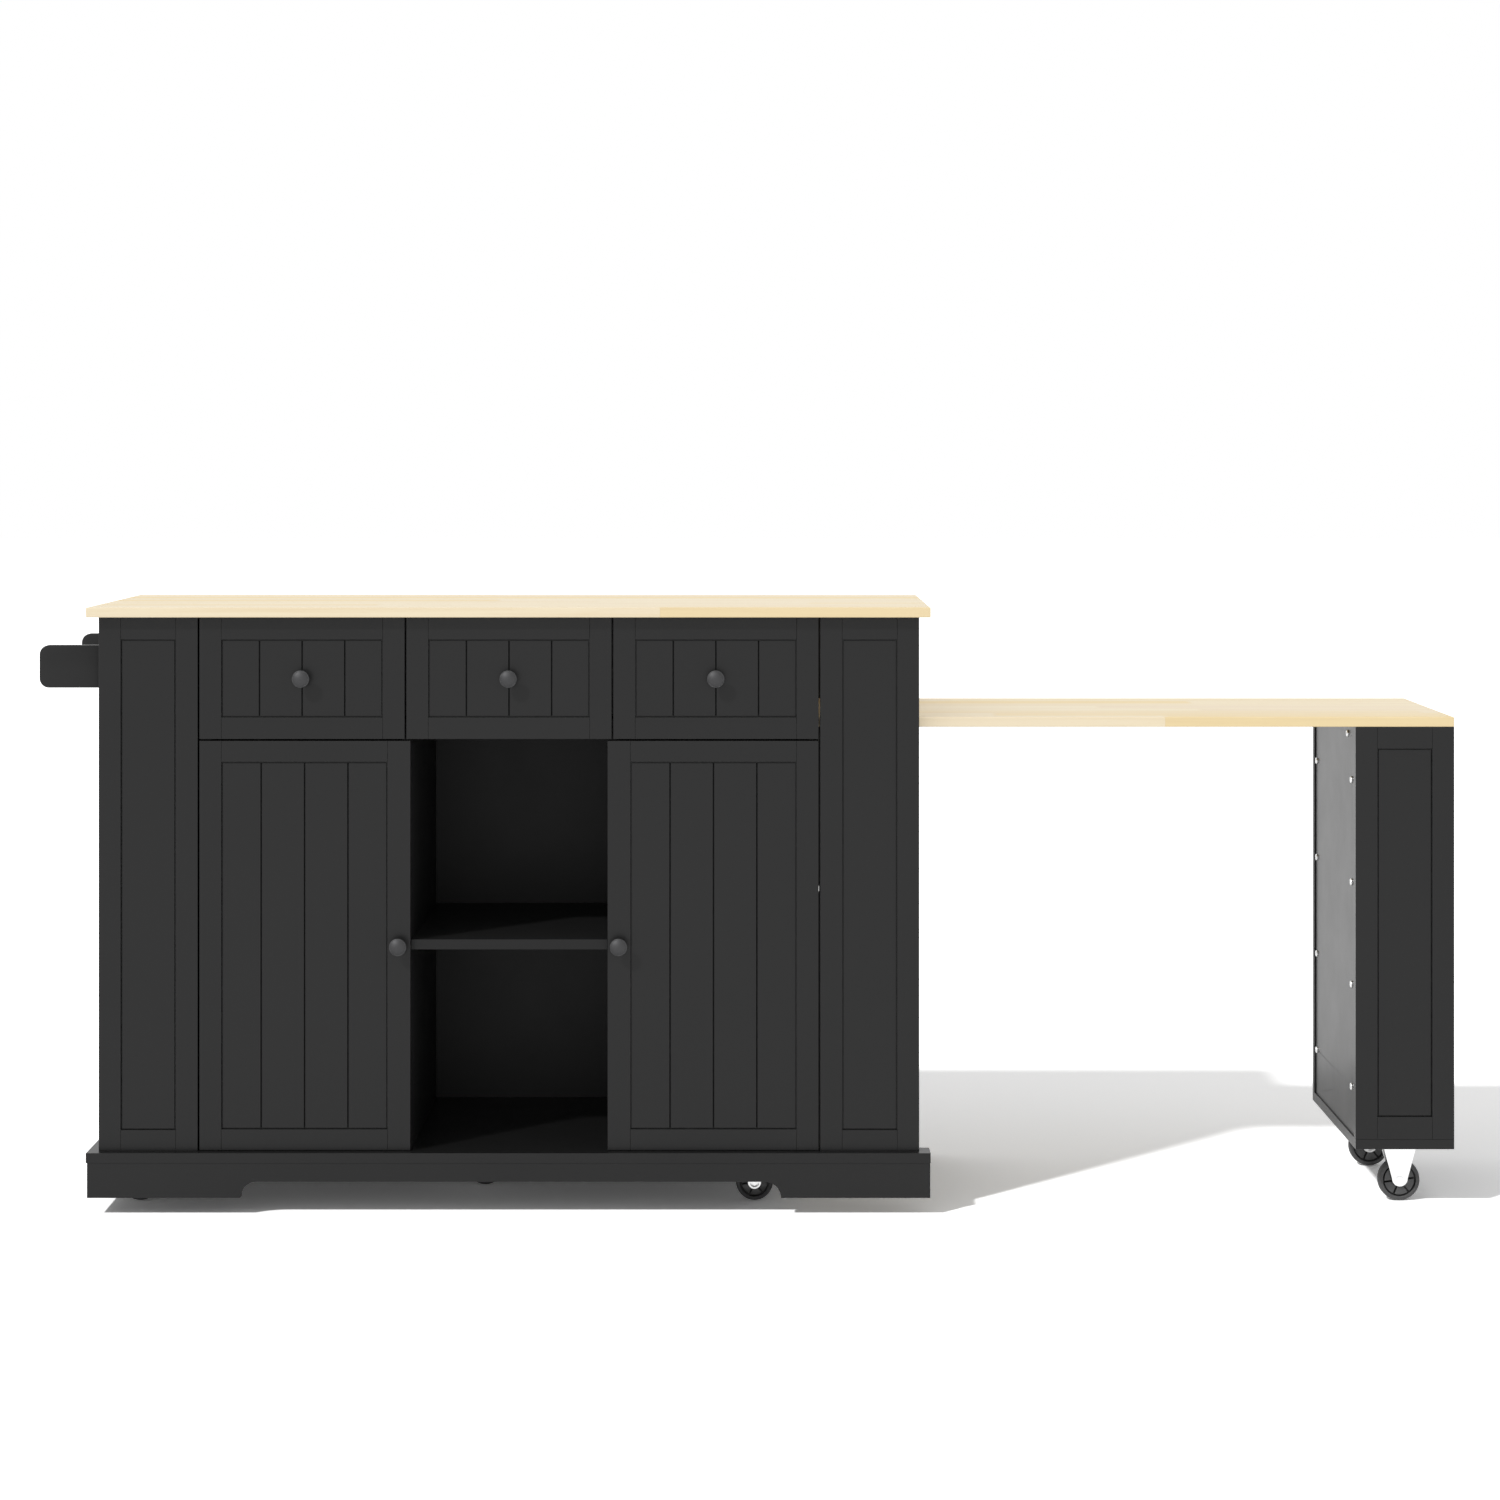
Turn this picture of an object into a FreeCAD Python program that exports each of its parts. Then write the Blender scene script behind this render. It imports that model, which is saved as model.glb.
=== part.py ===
import FreeCAD, Part
import math
import os

# Rolling kitchen island: a cabinet on five casters with drawers, doors, an open niche and a towel
# rack, and a table top that slides out to the right on a shelf leg with two casters of its own.
# Millimetres. While the pieces are made, X = 0 is the middle of the cabinet, Y = 0 is the front
# face of its doors and Z = 0 is the floor; +Y points to the back. They are written out with the
# origin at the bottom centre of the whole object, table drawn out.

# Clearances
face_gap = 0.4             # back of a door or drawer front to the edges of the carcass
slide_gap = 0.3            # table to the boards that it slides on and along
front_gap = 2.6            # between neighbouring fronts, side by side
turn_gap = 0.3             # between a turning fork and the race over it
axle_gap = 0.2             # round an axle, in the bore of its wheel
fit_gap = 0.1              # round a screw, pin, rod or cup in its hole
touch = 0.001              # two places closer than this are the same

# Boards
board_thickness = 15.0     # carcass boards and shelves
front_thickness = 16.0     # doors, drawer fronts, columns and skirting
back_thickness = 5.0       # back panel of the cabinet
stile_width = 33.3         # upright of a framed front
knob_stile_width = 34.6    # upright of a door that carries its knob
door_rail_width = 31.9     # crosspiece of a framed front
drawer_rail_width = 33.0
column_rail_widths = (31.6, 34.0)  # at the foot and at the head
leg_rail_widths = (34.3, 33.0)
panel_recess = 2.5         # face of a panel behind the face of its frame
panel_rebate = 6.0         # depth of the shadow line round a panel
shadow_width = 2.3         # width of that shadow line
groove_width = 2.5         # V-groove in a panel
groove_depth = 1.7
edge_break = 0.4           # on the front edges of every framed piece

# Worktop
worktop_width = 1278.0
worktop_depth = 470.0
worktop_height = 920.0     # its upper face above the floor
worktop_thickness = 15.0
worktop_overhang = 17.0    # in front of the doors
worktop_rear_overhang = 8.0    # behind the back panel
worktop_side_overhang = 16.6   # past the side of each column
wood_easing = 1.2          # radius on the edges of the two wooden tops

# Cabinet
column_width = 150.1       # fixed framed column at each side of the front
niche_width = 299.2        # between the two doors
door_foot_gap = 0.8        # under a door
door_head_gap = 2.6        # between a door and the drawer front over it
drawer_head_gap = 1.0      # between a drawer front and the worktop
drawer_front_height = 184.2
door_groove_share = 0.2611     # from one groove to the next, of the width inside a front's stiles
drawer_groove_share = 0.2643

# Skirting
plinth_foot = 26.8         # its lower edge above the floor
rear_plinth_foot = 9.0     # likewise, of the rear skirting
plinth_inset = 1.7         # its face behind the edge of the base board
plinth_right_inset = 0.6   # its right end, likewise
arch_foot_width = 230.0    # from the end of the base board to the arch
arch_rise = 24.5           # height of the arch, and radius of its two ends
arch_offset = 3.5          # middle of the arch to the right of the middle of the cabinet

# Shelves
niche_shelf_share = 0.5110     # its upper face, of the height from the base board to the deck
niche_shelf_side_gap = 0.8
niche_shelf_setback = 8.0      # its front edge behind the face of the doors
cupboard_shelf_share = 0.6244  # likewise
cupboard_shelf_setback = 60.0
cupboard_screw_line = 60.0     # screws from the front and the back edge of a cupboard shelf
pin_radius = 2.5
pin_reach = 9.0                # of a shelf pin out of its divider, and into it
pin_line = 37.0                # shelf pins from the front and the back edge of their divider

# Drawers
drawer_count = 3
drawer_box_back_gap = 74.0     # behind a drawer box, to the back panel
drawer_box_head_gap = 33.0     # over a drawer box, to the worktop
drawer_box_thickness = 12.0
drawer_bottom_thickness = 5.0
drawer_bottom_rise = 8.0
drawer_box_clearance = 7.0     # over the sliding table
runner_thickness = 6.2         # of each of the two bars of a runner
runner_height = 35.0
runner_end_gap = 10.0          # a runner is this much shorter than its box
partition_gap = 3.0            # between the sliding table and the partitions over it

# Knobs
knob_radius = 13.3
knob_foot_radius = 8.0
knob_foot_thickness = 2.0
knob_neck_radius = 5.0
knob_neck_length = 11.0        # from the face of the front to the flare under the head
knob_flare_length = 6.2
knob_rim_thickness = 3.0
knob_step = 0.8            # of the dome in from the rim's face
knob_step_width = 1.6
knob_dome_height = 4.0
door_knob_drop = 310.6     # middle of a knob below the top of its door

# Hinges
cup_radius = 13.0
cup_depth = 11.5
cup_stile_gap = 0.8        # between a cup and the inner edge of its stile
hinge_inset = 90.0         # middle of a hinge from the top and the bottom of its door
hinge_plate_thickness = 2.0
hinge_plate_length = 40.0
hinge_plate_height = 30.0
hinge_plate_setback = 37.0
hinge_arm_thickness = 10.0
hinge_arm_height = 14.0
hinge_arm_end = 68.0       # back end of an arm

# Towel rack
rack_projection = 98.0
rack_bracket_height = 65.0
rack_bracket_thickness = 15.0
rack_drop = 60.0           # top of a bracket below the top of the worktop
rack_corner_radius = 10.5
rack_inset = 41.0          # outer face of the front bracket behind the face of the doors
rack_span = 354.0          # from the outer face of one bracket to the outer face of the other
rod_radius = 8.0
rod_inset = 28.0           # middle of the rod from the outer end of a bracket
rod_socket = 8.0

# Sliding table and its leg
table_drop = 169.0         # upper face of the table below the upper face of the worktop
table_thickness = 15.0
table_back_gap = 2.0       # between the table and the back panel
table_setback = 29.0       # its front edge behind the face of the doors
table_hold = 104.7         # length of the drawn table that stays over the cabinet
table_end_gap = 2.2        # between the pushed-in table and the left divider
guide_height = 13.3
guide_front_gap = 1.0      # between the guide and the drawer fronts
leg_side_gap = 2.3         # between the pushed-in leg and the right divider
leg_panel_thickness = 12.0
leg_panel_recess = 2.7
leg_shelf_count = 4
leg_shelf_drop = 6.0       # middle of a shelf below the middle of its share of the height
leg_shelf_setback = 10.0
leg_cleat_height = 32.0
leg_cleat_thickness = 16.0
leg_screw_line_front = 47.0    # screws of the leg from the front and the back edge of the table
leg_screw_line_rear = 33.0
leg_cleat_screw_line = 82.0    # likewise, at both ends of the cleat
bay_gap_side = 0.5         # base board to the face of the right divider, in the cut-out for the leg
bay_gap_front = 2.0

# Screws with pan heads
screw_head_radius = 5.25
screw_head_height = 3.0
screw_head_easing = 1.4
screw_radius = 2.0
screw_length = 26.0

# Casters
wheel_radius = 28.5        # of the five wheels under the cabinet
leg_wheel_radius = 32.0
wheel_width = 21.0
tyre_thickness = 6.5
tyre_shoulder = 3.0
hub_radius = 9.0
web_width = 8.0
pad_inset = 2.0            # face of a pad behind the side of the tyre
pad_ring_gap = 2.4         # between the pads and the tyre
pad_slot_width = 2.2
pad_count = 6
axle_radius = 4.0
axle_overhang = 1.5
cheek_thickness = 2.5
cheek_side_gap = 1.0       # between a wheel and a cheek
cheek_top_half_width = 25.5
cheek_end_radius = 10.0    # of the round end of a cheek
leg_cheek_end_radius = 12.0
cheek_end_drop = 9.3       # lowest point of a cheek below the axle
crown_thickness = 3.0
wheel_head_gap = 9.7       # between a wheel and its crown
leg_wheel_head_gap = 21.7
plate_thickness = 3.0
plate_half_size = 29.0
race_radius = 20.0
race_height = 7.0
kingpin_radius = 4.0
caster_trail = 25.0
caster_inset_side = 72.1
caster_inset_front = 102.0
caster_inset_rear = 111.0
leg_caster_inset = 73.0
leg_caster_offset = 3.2    # to the right of the middle of the leg

# Places that follow from the sizes above
body_half = worktop_width / 2 - worktop_side_overhang
body_depth = worktop_depth - worktop_overhang - worktop_rear_overhang
caster_height = 2 * wheel_radius + wheel_head_gap + crown_thickness + turn_gap + race_height + plate_thickness
base_height = caster_height + board_thickness
leg_foot = 2 * leg_wheel_radius + leg_wheel_head_gap + crown_thickness + plate_thickness
worktop_bottom = worktop_height - worktop_thickness
worktop_y = (-worktop_overhang, worktop_depth - worktop_overhang)
worktop_x = (-worktop_width / 2, worktop_width / 2)
column_inner = body_half - column_width
carcass_y = (front_thickness + face_gap, body_depth - back_thickness)
divider_outer = column_inner - front_gap
divider_inner = divider_outer - board_thickness
niche_half = niche_width / 2
niche_outer = niche_half + board_thickness
plinth_top = base_height - board_thickness

table_height = worktop_height - table_drop
table_z = (table_height - table_thickness, table_height)
table_y = (table_setback, carcass_y[1] - table_back_gap)
table_left = divider_outer - table_hold
table_right = table_left + body_half + divider_inner - table_end_gap
deck_z = (table_z[0] - slide_gap - board_thickness, table_z[0] - slide_gap)
niche_shelf_height = base_height + niche_shelf_share * (deck_z[0] - base_height)
cupboard_shelf_height = base_height + cupboard_shelf_share * (deck_z[0] - base_height)

drawer_width = (2 * divider_outer - (drawer_count - 1) * front_gap) / drawer_count
drawer_pitch = drawer_width + front_gap
drawer_front_z = (worktop_bottom - drawer_head_gap - drawer_front_height, worktop_bottom - drawer_head_gap)
drawer_box_z = (table_height + drawer_box_clearance, worktop_bottom - drawer_box_head_gap)
drawer_box_y = (front_thickness, carcass_y[1] - drawer_box_back_gap)
door_z = (base_height + door_foot_gap, drawer_front_z[0] - door_head_gap)
door_knob_height = door_z[1] - door_knob_drop
partition_z = (table_height + partition_gap, worktop_bottom)
partition_x = drawer_pitch / 2

leg_x = (table_right - (body_half - divider_outer - leg_side_gap), table_right)
leg_inner_y = (table_y[0] + front_thickness, table_y[1] - front_thickness)
leg_inner_z = (leg_foot + board_thickness, table_z[0])
leg_panel_x = (leg_x[0] + leg_panel_recess, leg_x[0] + leg_panel_recess + leg_panel_thickness)
leg_shelf_x = (leg_panel_x[1], leg_x[1] - leg_shelf_setback)
leg_shelf_pitch = (leg_inner_z[1] - leg_inner_z[0]) / leg_shelf_count
leg_shelf_heights = [leg_inner_z[0] + (level + 0.5) * leg_shelf_pitch - leg_shelf_drop
                     for level in range(leg_shelf_count)]
leg_screw_y = (table_y[0] + leg_screw_line_front, table_y[1] - leg_screw_line_rear)
cleat_screw_y = (table_y[0] + leg_cleat_screw_line, table_y[1] - leg_cleat_screw_line)
cleat_z = (table_z[0] - leg_cleat_height, table_z[0])

rack_z = (worktop_height - rack_drop - rack_bracket_height, worktop_height - rack_drop)
rack_end = -body_half - rack_projection
rod_x = rack_end + rod_inset
rod_z = (rack_z[0] + rack_z[1]) / 2

fork_half_width = wheel_width / 2 + cheek_side_gap
crown_top = plinth_top - plate_thickness - race_height - turn_gap
leg_crown_top = leg_foot - plate_thickness

knob_rim_start = knob_neck_length + knob_flare_length
knob_rim_end = knob_rim_start + knob_rim_thickness
knob_dome_start = knob_rim_end + knob_step
knob_projection = knob_dome_start + knob_dome_height
knob_dome_radius = knob_radius - knob_step_width

# The origin of the finished part, seen from the middle of the cabinet
origin = FreeCAD.Vector((table_right + rack_end) / 2, (worktop_y[1] - knob_projection) / 2, 0)


def block(x, y, z):
    """A board; x, y and z each give its low and high face."""
    corner = FreeCAD.Vector(x[0], y[0], z[0])
    return Part.makeBox(x[1] - x[0], y[1] - y[0], z[1] - z[0], corner)


def rod(start, direction, length, radius):
    """A round bar from a point, along a direction."""
    return Part.makeCylinder(radius, length, FreeCAD.Vector(*start), FreeCAD.Vector(*direction))


def one_solid(shape):
    """The single solid that a cut or a fuse leaves."""
    return shape.removeSplitter().Solids[0]


def eased_board(x, y, z):
    """A wooden top with all its edges rounded a little."""
    board = block(x, y, z)
    return board.makeFillet(wood_easing, board.Edges)


def with_broken_front(solid, face_y):
    """The same piece with the edges of its front face taken off."""
    front_edges = [edge for edge in solid.Edges
                   if all(abs(corner.Y - face_y) < touch for corner in edge.Vertexes)]
    return solid.makeChamfer(edge_break, front_edges)


def v_groove(x, face_y, z):
    """The wedge that is cut out of a panel for one upright groove."""
    outline = [(x - groove_width / 2, face_y), (x + groove_width / 2, face_y), (x, face_y + groove_depth)]
    corners = [FreeCAD.Vector(corner_x, corner_y, z[0]) for corner_x, corner_y in outline]
    wedge = Part.Face(Part.makePolygon(corners + corners[:1]))
    return wedge.extrude(FreeCAD.Vector(0, 0, z[1] - z[0]))


def framed_front(x, z, face_y, rails, stiles=(stile_width, stile_width), groove_share=0):
    """Two stiles, two rails and the panel between them; a share gives the panel three grooves.

    The widths of the rails come as foot and head, those of the stiles as left and right."""
    y = (face_y, face_y + front_thickness)
    inner_x = (x[0] + stiles[0], x[1] - stiles[1])
    inner_z = (z[0] + rails[0], z[1] - rails[1])
    frame = [
        block((x[0], inner_x[0]), y, z),
        block((inner_x[1], x[1]), y, z),
        block(inner_x, y, (z[0], inner_z[0])),
        block(inner_x, y, (inner_z[1], z[1])),
    ]
    field_x = (inner_x[0] + shadow_width, inner_x[1] - shadow_width)
    field_z = (inner_z[0] + shadow_width, inner_z[1] - shadow_width)
    backing = block(inner_x, (face_y + panel_rebate, y[1]), inner_z)
    panel = backing.fuse(block(field_x, (face_y + panel_recess, y[1]), field_z))
    spacing = groove_share * (inner_x[1] - inner_x[0])
    middle = (inner_x[0] + inner_x[1]) / 2
    for step in (-1, 0, 1) if groove_share else ():
        panel = panel.cut(v_groove(middle + step * spacing, face_y + panel_recess, field_z))
    return [with_broken_front(piece, face_y) for piece in frame] + [one_solid(panel)]


def knob(x, face_y, z):
    """A turned knob on the face of a front: foot, neck, flared head, rim and dome."""
    def at(radius, reach):
        return FreeCAD.Vector(x + radius, face_y - reach, z)

    cap_height = knob_projection - knob_dome_start
    dome_sphere = (knob_dome_radius ** 2 + cap_height ** 2) / (2 * cap_height)
    half_turn = math.asin(knob_dome_radius / dome_sphere) / 2
    dome_middle = at(dome_sphere * math.sin(half_turn),
                     knob_projection - dome_sphere * (1 - math.cos(half_turn)))
    outline = [
        at(0, 0),
        at(knob_foot_radius, 0),
        at(knob_foot_radius, knob_foot_thickness),
        at(knob_neck_radius, knob_foot_thickness),
        at(knob_neck_radius, knob_neck_length),
        at(knob_radius, knob_rim_start),
        at(knob_radius, knob_rim_end),
        at(knob_dome_radius, knob_rim_end),
        at(knob_dome_radius, knob_dome_start),
    ]
    edges = [Part.makeLine(start, end) for start, end in zip(outline, outline[1:])]
    edges.append(Part.Arc(outline[-1], dome_middle, at(0, knob_projection)).toShape())
    edges.append(Part.makeLine(at(0, knob_projection), at(0, 0)))
    half_section = Part.Face(Part.Wire(edges))
    return half_section.revolve(FreeCAD.Vector(x, 0, z), FreeCAD.Vector(0, 1, 0), 360).Solids[0]


def pan_screw(face_x, y, z, outward):
    """A screw with its head on a face; outward is 1 or -1, the way that the head looks along X."""
    head = rod((face_x, y, z), (outward, 0, 0), screw_head_height, screw_head_radius)
    rim = [edge for edge in head.Edges
           if all(abs(corner.X - face_x - outward * screw_head_height) < touch for corner in edge.Vertexes)]
    head = head.makeFillet(screw_head_easing, rim)
    return one_solid(head.fuse(rod((face_x, y, z), (-outward, 0, 0), screw_length, screw_radius)))


def screw_hole(face_x, y, z, outward):
    """The hole that a screw needs, from the face that its head sits on."""
    return rod((face_x, y, z), (-outward, 0, 0), screw_length + fit_gap, screw_radius + fit_gap)


def cut_all(solid, cutters):
    """A solid with a list of holes taken out of it."""
    for cutter in cutters:
        solid = solid.cut(cutter)
    return one_solid(solid)


# Worktop, base and skirting


def worktop():
    return [eased_board(worktop_x, worktop_y, (worktop_bottom, worktop_height))]


def base_board():
    """The floor of the cabinet, cut out at the right end where the leg rolls in."""
    board = block(worktop_x, worktop_y, (plinth_top, base_height))
    bay_x = (divider_outer + bay_gap_side, worktop_x[1])
    bay_y = (table_y[0] - bay_gap_front, carcass_y[1])
    return [one_solid(board.cut(block(bay_x, bay_y, (plinth_top, base_height))))]


plinth_x = (worktop_x[0] + plinth_inset, worktop_x[1] - plinth_right_inset)
plinth_y = (worktop_y[0] + plinth_inset, worktop_y[1] - plinth_inset)
plinth_z = (plinth_foot, plinth_top)


def front_plinth():
    """The front skirting with its flat arch, whose two ends are quarter rounds."""
    y = (plinth_y[0], plinth_y[0] + front_thickness)
    board = block(plinth_x, y, plinth_z)
    arch_x = (arch_offset + worktop_x[0] + arch_foot_width, arch_offset + worktop_x[1] - arch_foot_width)
    arch = block(arch_x, y, (plinth_foot - arch_rise, plinth_foot + arch_rise))
    upper_corners = [edge for edge in arch.Edges
                     if all(abs(end.Z - plinth_foot - arch_rise) < touch for end in edge.Vertexes)
                     and abs(edge.Vertexes[0].X - edge.Vertexes[1].X) < touch]
    return [one_solid(board.cut(arch.makeFillet(arch_rise, upper_corners)))]


def left_and_rear_plinth():
    """The left skirting, and the rear one, which reaches nearly to the floor."""
    side_y = (plinth_y[0] + front_thickness, plinth_y[1] - front_thickness)
    side = block((plinth_x[0], plinth_x[0] + front_thickness), side_y, plinth_z)
    rear = block(plinth_x, (side_y[1], plinth_y[1]), (rear_plinth_foot, plinth_top))
    return [side, rear]


# Carcass


def left_side_panel():
    x = (-body_half, -body_half + board_thickness)
    return [block(x, (front_thickness, carcass_y[1]), (base_height, worktop_bottom))]


def left_divider():
    return [block((-divider_outer, -divider_inner), carcass_y, (base_height, worktop_bottom))]


divider_screw_places = [
    (cupboard_shelf_setback + cupboard_screw_line, cupboard_shelf_height - board_thickness / 2),
    (carcass_y[1] - cupboard_screw_line, cupboard_shelf_height - board_thickness / 2),
]


def right_divider():
    """Ends under the table, which slides over its upper edge."""
    board = block((divider_inner, divider_outer), carcass_y, (base_height, deck_z[1]))
    return [cut_all(board, [screw_hole(divider_outer, y, z, 1) for y, z in divider_screw_places])]


pin_height = niche_shelf_height - board_thickness - pin_radius


def shelf_pins(radius):
    """Four pins, or with a larger radius their holes, in the two boards beside the niche."""
    pins = []
    for side in (-1, 1):
        for y in (carcass_y[0] + pin_line, carcass_y[1] - pin_line):
            start = (side * (niche_half - pin_reach), y, pin_height)
            pins.append(rod(start, (side, 0, 0), 2 * pin_reach, radius))
    return pins


def niche_dividers():
    z = (base_height, deck_z[0])
    holes = shelf_pins(pin_radius + fit_gap)
    left = block((-niche_outer, -niche_half), carcass_y, z)
    right = block((niche_half, niche_outer), carcass_y, z)
    return [cut_all(left, holes[:2]), cut_all(right, holes[2:])]


def deck_board():
    return [block((-divider_inner, divider_inner), carcass_y, deck_z)]


def drawer_partitions():
    """The two boards between the drawers and the one at their right, all over the table."""
    half = board_thickness / 2
    places = [(-partition_x - half, -partition_x + half), (partition_x - half, partition_x + half),
              (divider_inner, divider_outer)]
    return [block(x, carcass_y, partition_z) for x in places]


def back_panel():
    return [block((-body_half, body_half), (carcass_y[1], body_depth), (base_height, worktop_bottom))]


def shelves():
    """The loose shelf of the niche and the two fixed ones behind the doors."""
    niche_x = (-niche_half + niche_shelf_side_gap, niche_half - niche_shelf_side_gap)
    niche_y = (niche_shelf_setback, carcass_y[1])
    niche = block(niche_x, niche_y, (niche_shelf_height - board_thickness, niche_shelf_height))
    y = (cupboard_shelf_setback, carcass_y[1])
    z = (cupboard_shelf_height - board_thickness, cupboard_shelf_height)
    left = block((-divider_inner, -niche_outer), y, z)
    right = block((niche_outer, divider_inner), y, z)
    return [niche, left, cut_all(right, [screw_hole(divider_outer, hole_y, hole_z, 1)
                                         for hole_y, hole_z in divider_screw_places])]


def pins_and_screws():
    screws = [pan_screw(divider_outer, y, z, 1) for y, z in divider_screw_places]
    return shelf_pins(pin_radius) + screws


def column(side):
    """The fixed framed column at one side of the front; side is -1 for left and 1 for right."""
    x = sorted((side * column_inner, side * body_half))
    return framed_front(x, (base_height, worktop_bottom), 0, column_rail_widths)


def table_guide():
    """The strip along the front of the deck that keeps the table straight."""
    y = (front_thickness + guide_front_gap, table_y[0] - slide_gap)
    return [block((-divider_inner, divider_outer), y, (deck_z[1], deck_z[1] + guide_height))]


# Towel rack

front_bracket_y = (rack_inset, rack_inset + rack_bracket_thickness)
rear_bracket_y = (rack_inset + rack_span - rack_bracket_thickness, rack_inset + rack_span)
rod_y = (front_bracket_y[1] - rod_socket, rear_bracket_y[0] + rod_socket)


def towel_brackets():
    brackets = []
    socket = rod((rod_x, rod_y[0], rod_z), (0, 1, 0), rod_y[1] - rod_y[0], rod_radius + fit_gap)
    for y in (front_bracket_y, rear_bracket_y):
        bracket = block((rack_end, -body_half), y, rack_z)
        outer_corners = [edge for edge in bracket.Edges
                         if all(abs(end.X - rack_end) < touch for end in edge.Vertexes)
                         and abs(edge.Vertexes[0].Z - edge.Vertexes[1].Z) < touch]
        brackets.append(one_solid(bracket.makeFillet(rack_corner_radius, outer_corners).cut(socket)))
    return brackets


def towel_rod():
    return [rod((rod_x, rod_y[0], rod_z), (0, 1, 0), rod_y[1] - rod_y[0], rod_radius)]


# Doors and their hinges


def hinge_heights():
    return (door_z[0] + hinge_inset, door_z[1] - hinge_inset)


def hinge_cups(side, radius, depth):
    """The cups of one door, or with a larger radius their holes, let in from its back."""
    x = side * (divider_outer - stile_width + cup_stile_gap + cup_radius)
    return [rod((x, front_thickness, z), (0, -1, 0), depth, radius) for z in hinge_heights()]


def door(side):
    x = sorted((side * niche_half, side * divider_outer))
    stiles = (stile_width, knob_stile_width) if side < 0 else (knob_stile_width, stile_width)
    pieces = framed_front(x, door_z, 0, (door_rail_width, door_rail_width), stiles, door_groove_share)
    holes = hinge_cups(side, cup_radius + fit_gap, cup_depth + fit_gap)
    hinged_stile = 0 if side < 0 else 1
    pieces[hinged_stile] = cut_all(pieces[hinged_stile], holes)
    return pieces


def hinge_arms():
    """A plate on the divider and the arm on it, for each hinge."""
    pieces = []
    for side in (-1, 1):
        plate_x = sorted((side * divider_inner, side * (divider_inner - hinge_plate_thickness)))
        arm_x = sorted((side * (divider_inner - hinge_plate_thickness),
                        side * (divider_inner - hinge_plate_thickness - hinge_arm_thickness)))
        plate_y = (hinge_plate_setback, hinge_plate_setback + hinge_plate_length)
        for z in hinge_heights():
            plate_z = (z - hinge_plate_height / 2, z + hinge_plate_height / 2)
            arm_z = (z - hinge_arm_height / 2, z + hinge_arm_height / 2)
            pieces.append(block(plate_x, plate_y, plate_z))
            pieces.append(block(arm_x, (carcass_y[0], hinge_arm_end), arm_z))
    return pieces


# Drawers


def drawer_front(middle):
    x = (middle - drawer_width / 2, middle + drawer_width / 2)
    rails = (drawer_rail_width, drawer_rail_width)
    return framed_front(x, drawer_front_z, 0, rails, groove_share=drawer_groove_share)


def drawer_bay(middle):
    """The inner faces of the boards at each side of a drawer."""
    half = board_thickness / 2
    left = -divider_inner if middle < -partition_x else middle - partition_x + half
    right = divider_inner if middle > partition_x else middle + partition_x - half
    return (left, right)


def drawer_box_x(middle):
    bay = drawer_bay(middle)
    side_space = 2 * runner_thickness + slide_gap
    return (bay[0] + side_space, bay[1] - side_space)


def drawer_box(middle):
    """Two sides, an inner front, a back and a bottom."""
    x = drawer_box_x(middle)
    inner_x = (x[0] + drawer_box_thickness, x[1] - drawer_box_thickness)
    y = drawer_box_y
    inner_y = (y[0] + drawer_box_thickness, y[1] - drawer_box_thickness)
    bottom = drawer_box_z[0] + drawer_bottom_rise
    return [
        block((x[0], inner_x[0]), y, drawer_box_z),
        block((inner_x[1], x[1]), y, drawer_box_z),
        block(inner_x, (y[0], inner_y[0]), drawer_box_z),
        block(inner_x, (inner_y[1], y[1]), drawer_box_z),
        block(inner_x, inner_y, (bottom, bottom + drawer_bottom_thickness)),
    ]


runner_z = ((drawer_box_z[0] + drawer_box_z[1] - runner_height) / 2,
            (drawer_box_z[0] + drawer_box_z[1] + runner_height) / 2)
runner_y = (drawer_box_y[0] + face_gap, drawer_box_y[1] + face_gap - runner_end_gap)


def drawer_runners(middle):
    """The two bars that are screwed to a drawer box."""
    x = drawer_box_x(middle)
    return [block((x[0] - runner_thickness, x[0]), runner_y, runner_z),
            block((x[1], x[1] + runner_thickness), runner_y, runner_z)]


def drawer_rails(middles):
    """The bars that stay in the cabinet, two for each drawer."""
    rails = []
    for middle in middles:
        bay = drawer_bay(middle)
        rails.append(block((bay[0], bay[0] + runner_thickness), runner_y, runner_z))
        rails.append(block((bay[1] - runner_thickness, bay[1]), runner_y, runner_z))
    return rails


# Sliding table and its leg


def table_top():
    return [eased_board((table_left, table_right), table_y, table_z)]


def leg_front_column():
    return framed_front(leg_x, leg_inner_z, table_y[0], leg_rail_widths)


def leg_rear_board():
    return [block(leg_x, (leg_inner_y[1], table_y[1]), leg_inner_z)]


def leg_base_board():
    return [block(leg_x, table_y, (leg_foot, leg_inner_z[0]))]


leg_screw_places = [(y, z) for z in leg_shelf_heights for y in leg_screw_y]
leg_screw_places += [(y, cleat_z[0] + leg_cleat_height / 2) for y in cleat_screw_y]


def leg_screw_holes():
    return [screw_hole(leg_panel_x[0], y, z, -1) for y, z in leg_screw_places]


def leg_back_panel():
    return [cut_all(block(leg_panel_x, leg_inner_y, leg_inner_z), leg_screw_holes())]


def leg_shelves():
    """The shelves of the leg, open to the right, each held by two screws through the panel."""
    boards = []
    for height in leg_shelf_heights:
        z = (height - board_thickness / 2, height + board_thickness / 2)
        boards.append(cut_all(block(leg_shelf_x, leg_inner_y, z), leg_screw_holes()))
    return boards


def leg_top_cleat():
    """The batten under the table, against the panel of the leg."""
    x = (leg_panel_x[1], leg_panel_x[1] + leg_cleat_thickness)
    return [cut_all(block(x, leg_inner_y, cleat_z), leg_screw_holes())]


def leg_screws():
    return [pan_screw(leg_panel_x[0], y, z, -1) for y, z in leg_screw_places]


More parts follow.
